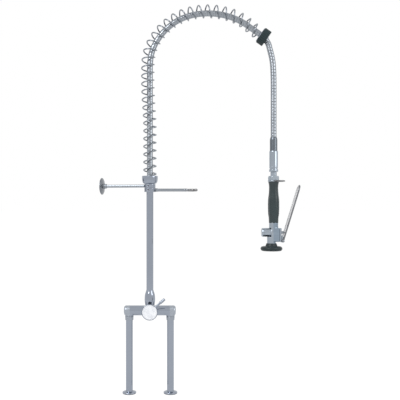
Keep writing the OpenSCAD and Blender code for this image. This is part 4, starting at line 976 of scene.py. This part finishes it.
def stirrup_field(p):
    d = box_field(p, (472.05, -16.5, 553), (478.6, 16.5, 603), 1.6)
    for side in (-1, 1):
        low, high = (10, 14.5) if side > 0 else (-14.5, -10)
        q = p[:, [0, 2]]
        corners = [(477.6, 551.5), (484.5, 550.6), (490, 556.5), (490, 568), (477.6, 578)]
        flat = np.full(len(p), -1e9)
        for (x0, z0), (x1, z1) in zip(corners, corners[1:] + corners[:1]):
            n = np.array([z1 - z0, x0 - x1]) / math.hypot(x1 - x0, z1 - z0)
            flat = np.maximum(flat, (q - np.array([x0, z0])) @ n)
        flat = joint(flat, np.linalg.norm(q - np.array([484, 556.5]), axis=1) - 6, 1.0)
        slab = np.maximum(low - p[:, 1], p[:, 1] - high)
        e = np.stack([flat + 0.7, slab + 0.7], -1)
        ear = np.linalg.norm(np.maximum(e, 0), axis=1) + np.minimum(e.max(axis=1), 0) - 0.7
        d = joint(d, ear, 1.5)
    d = cut(d, rod_field(p, (484, -20, 556.5), (484, 20, 556.5), 2.52, 0.1), 0.4)
    d = cut(d, rod_field(p, (470, 0, VALVE_Z), (482, 0, VALVE_Z), 9.03, 0.1), 0.4)
    for y in (-12, 12):
        for z in (562, 597):
            d = cut(d, rod_field(p, (477.4, y, z), (480, y, z), 2.6, 0.1), 0.4)
            d = joint(d, rod_field(p, (476, y, z), (478.3, y, z), 2.1, 0.4), 0.1)
    return d


add("lever_bracket", net(stirrup_field, (472, -17, 550), (490.5, 17, 603.5), 0.55),
    "lever_stirrup", chrome_bright, crease=60)

BUMPER_R, BUMPER_EDGE_R, BUMPER_Z = 39.5, 8.35, 527.75
bumper_edge = [(BUMPER_R - BUMPER_EDGE_R + BUMPER_EDGE_R * math.sin(a), BUMPER_Z - BUMPER_EDGE_R * math.cos(a), 0)
               for a in np.linspace(0, math.pi, 25)]
add("spray_bumper", turned(
    [(24, 519.4, 0.3)] + bumper_edge
    + [(22.6, 536.1, 0.8), (21.8, 537.2, 0.8), (18.8, 545.4, 1.5), (17.8, 547.4, 0.8), (16.02, 547.4, 0.3),
       (16.02, 535.05, 0.2), (27, 535.05, 0.2), (27, 524.1, 0.2), (24, 524.1, 0.2)],
    (HEAD_X, 0, 0), closed=True, sides=128, steps=4), "bumper", bumper_rubber)

# ---- Lever, stem and clip ---------------------------------------------------------------------------

LEAN = math.radians(17.1)
l_dir = np.array([math.sin(LEAN), 0, math.cos(LEAN)])
l_side = np.array([math.cos(LEAN), 0, -math.sin(LEAN)])
PIVOT = np.array([484, 0, 556.5])


def lever_path():
    half, straight = 18, 192.3
    up = [PIVOT - half * Y + l_dir * t for t in np.linspace(3.4, straight, 12)]
    bend = [PIVOT + l_dir * (straight + half * math.sin(a)) - Y * half * math.cos(a)
            for a in np.linspace(0, math.pi, 33)[1:-1]]
    down = [PIVOT + half * Y + l_dir * t for t in np.linspace(straight, 3.4, 12)]
    return np.array(up + bend + down)


def lever_field_parts():
    bar = lever_path()
    parts = [swept(bar, 3, np.tile(l_side, (len(bar), 1)), sides=24, round_ends=False)]
    for side in (-1, 1):
        parts.append(turned([(2.52, -2.9, 0.2), (4.8, -2.9, 0.6), (4.8, 2.9, 0.6), (2.52, 2.9, 0.2)],
                            PIVOT + side * 18 * Y, Y, closed=True, sides=48))
    cross = np.array([PIVOT + 30.7 * l_dir + y * Y for y in np.linspace(-16.6, 16.6, 8)])
    parts.append(swept(cross, 2.9, np.tile(l_side, (8, 1)), sides=24, round_ends=False))
    return joined(*parts)


add("squeeze_lever_bow", lever_field_parts(), "squeeze_lever", lever_steel, crease=50)
add("lever_pivot_pin", turned(
    [(0, -22.6, 0), (2.2, -22.6, 0.8), (4, -21.9, 0.5), (4, -21.05, 0.2), (2.47, -21.05, 0), (2.47, 21.05, 0),
     (4, 21.05, 0.2), (4, 21.9, 0.5), (2.2, 22.6, 0.8), (0, 22.6, 0)],
    PIVOT, Y, sides=40), "lever_pivot", rod_steel)
add("valve_push_stem", turned(
    [(0, 429.1, 0), (2.7, 429.1, 0.3), (3, 429.6, 0.2), (3, 434.9, 0), (9.4, 434.9, 0.2), (9.4, 436.1, 0.2),
     (3, 436.1, 0), (3, 462, 0.2), (5, 462, 0.3), (5, 488.6, 0.8), (3.8, 489.6, 0.6), (0, 489.7, 0)],
    VALVE, X, sides=48), "valve_stem", rod_steel)


def clip_shape():
    c = SPRAY + CLIP_Z * Z
    legs = [c - 24 * Y + X * t for t in np.linspace(0, 15.6, 6)]
    arc = [c + X * (15.6 + 24 * math.sin(a)) - Y * 24 * math.cos(a) for a in np.linspace(0, math.pi, 41)[1:-1]]
    back = [c + 24 * Y + X * t for t in np.linspace(15.6, 0, 6)]
    path = np.array(legs + arc + back)
    parts = [swept(path, 2.5, np.tile(Z, (len(path), 1)), sides=20)]
    for side in (-1, 1):
        pin = np.array([c + side * y * Y for y in np.linspace(16.6, 23.6, 4)])
        parts.append(swept(pin, 1.5, np.tile(Z, (4, 1)), sides=16, round_ends=False))
    return joined(*parts)


add("lever_lock_clip", clip_shape(), "lock_clip", clip_steel)

# ---- Materials of the CAD nodes that stay --------------------------------------------------------------

KEPT = {
    seal_rubber: ["foot_gaskets", "union_washers", "riser_seals", "valve_disc"],
    white_plastic: ["check_valves", "cartridge_body"],
    ceramic: ["fixed_disc", "moving_disc"],
    brass: ["cartridge_nut", "spindle"],
    inner_steel: ["grip_tube", "valve_spring", "spray_plate"],
    screw_steel: ["cap_screw", "bracket_screw", "holder_screw", "plate_screw"],
    black_nut: ["turret"],
    rod_steel: ["hose_coupling"],
}
for material, names in KEPT.items():
    for n in names:
        mesh = NODES[n].data
        mesh.materials.clear()
        mesh.materials.append(material)

# ---- Studio ----------------------------------------------------------------------------------------------


AMBIENT = 0.62
FLOOR_GLOW, FLOOR_SHOWN, FLOOR_TONE = 0.84, (0.27, 0.27, 0.27, 1), (0.85, 0.85, 0.85, 1)


def background_ray(tree):
    """1 for rays that show the background: from the camera, and in metal and glass."""
    rays = tree.nodes.new("ShaderNodeLightPath")
    seen = rays.outputs["Is Camera Ray"]
    for kind in ("Is Glossy Ray", "Is Transmission Ray"):
        either = tree.nodes.new("ShaderNodeMath")
        either.operation = "MAXIMUM"
        tree.links.new(seen, either.inputs[0])
        tree.links.new(rays.outputs[kind], either.inputs[1])
        seen = either.outputs[0]
    return seen


def studio_world():
    """Plain soft light in front of a white background."""
    world = bpy.data.worlds.new("studio")
    bpy.context.scene.world = world
    world.use_nodes = True
    tree = world.node_tree
    tree.nodes.clear()
    strength = tree.nodes.new("ShaderNodeMapRange")
    strength.inputs["To Min"].default_value = AMBIENT
    tree.links.new(background_ray(tree), strength.inputs["Value"])
    background = tree.nodes.new("ShaderNodeBackground")
    background.inputs["Color"].default_value = (1, 1, 1, 1)
    tree.links.new(strength.outputs[0], background.inputs["Strength"])
    tree.links.new(background.outputs[0], tree.nodes.new("ShaderNodeOutputWorld").inputs["Surface"])


studio_world()


def ground():
    """A pale floor that looks white and keeps the object's shadow."""
    material = bpy.data.materials.new("floor")
    material.use_nodes = True
    tree = material.node_tree
    tree.nodes.clear()
    glow = tree.nodes.new("ShaderNodeEmission")
    glow.inputs["Strength"].default_value = FLOOR_GLOW
    pale, plain = (tree.nodes.new("ShaderNodeBsdfDiffuse") for _ in range(2))
    pale.inputs["Color"].default_value = FLOOR_SHOWN
    plain.inputs["Color"].default_value = FLOOR_TONE
    both, mix = tree.nodes.new("ShaderNodeAddShader"), tree.nodes.new("ShaderNodeMixShader")
    out = tree.nodes.new("ShaderNodeOutputMaterial")
    for source, target in ((glow.outputs[0], both.inputs[0]), (pale.outputs[0], both.inputs[1]),
                           (background_ray(tree), mix.inputs[0]), (plain.outputs[0], mix.inputs[1]),
                           (both.outputs[0], mix.inputs[2]), (mix.outputs[0], out.inputs["Surface"])):
        tree.links.new(source, target)
    mesh = bpy.data.meshes.new("floor")
    mesh.from_pydata([(-30, -30, 0), (30, -30, 0), (30, 60, 0), (-30, 60, 0)], [], [(0, 1, 2, 3)])
    mesh.materials.append(material)
    floor = bpy.data.objects.new("floor", mesh)
    bpy.context.scene.collection.objects.link(floor)


ground()


def lamp(name, where, size, power):
    data = bpy.data.lights.new(name, "AREA")
    data.shape = "SQUARE"
    data.size = size
    data.energy = power
    light = bpy.data.objects.new(name, data)
    light.location = where
    light.rotation_euler = (Vector((0.2, 0, 0.6)) - Vector(where)).to_track_quat("-Z", "Y").to_euler()
    bpy.context.scene.collection.objects.link(light)


lamp("key", (-1.5, -1.9, 2.6), 1.6, 44)
lamp("fill", (2.2, -1.4, 1.6), 1.4, 16)
bpy.context.scene.view_settings.view_transform = "Standard"
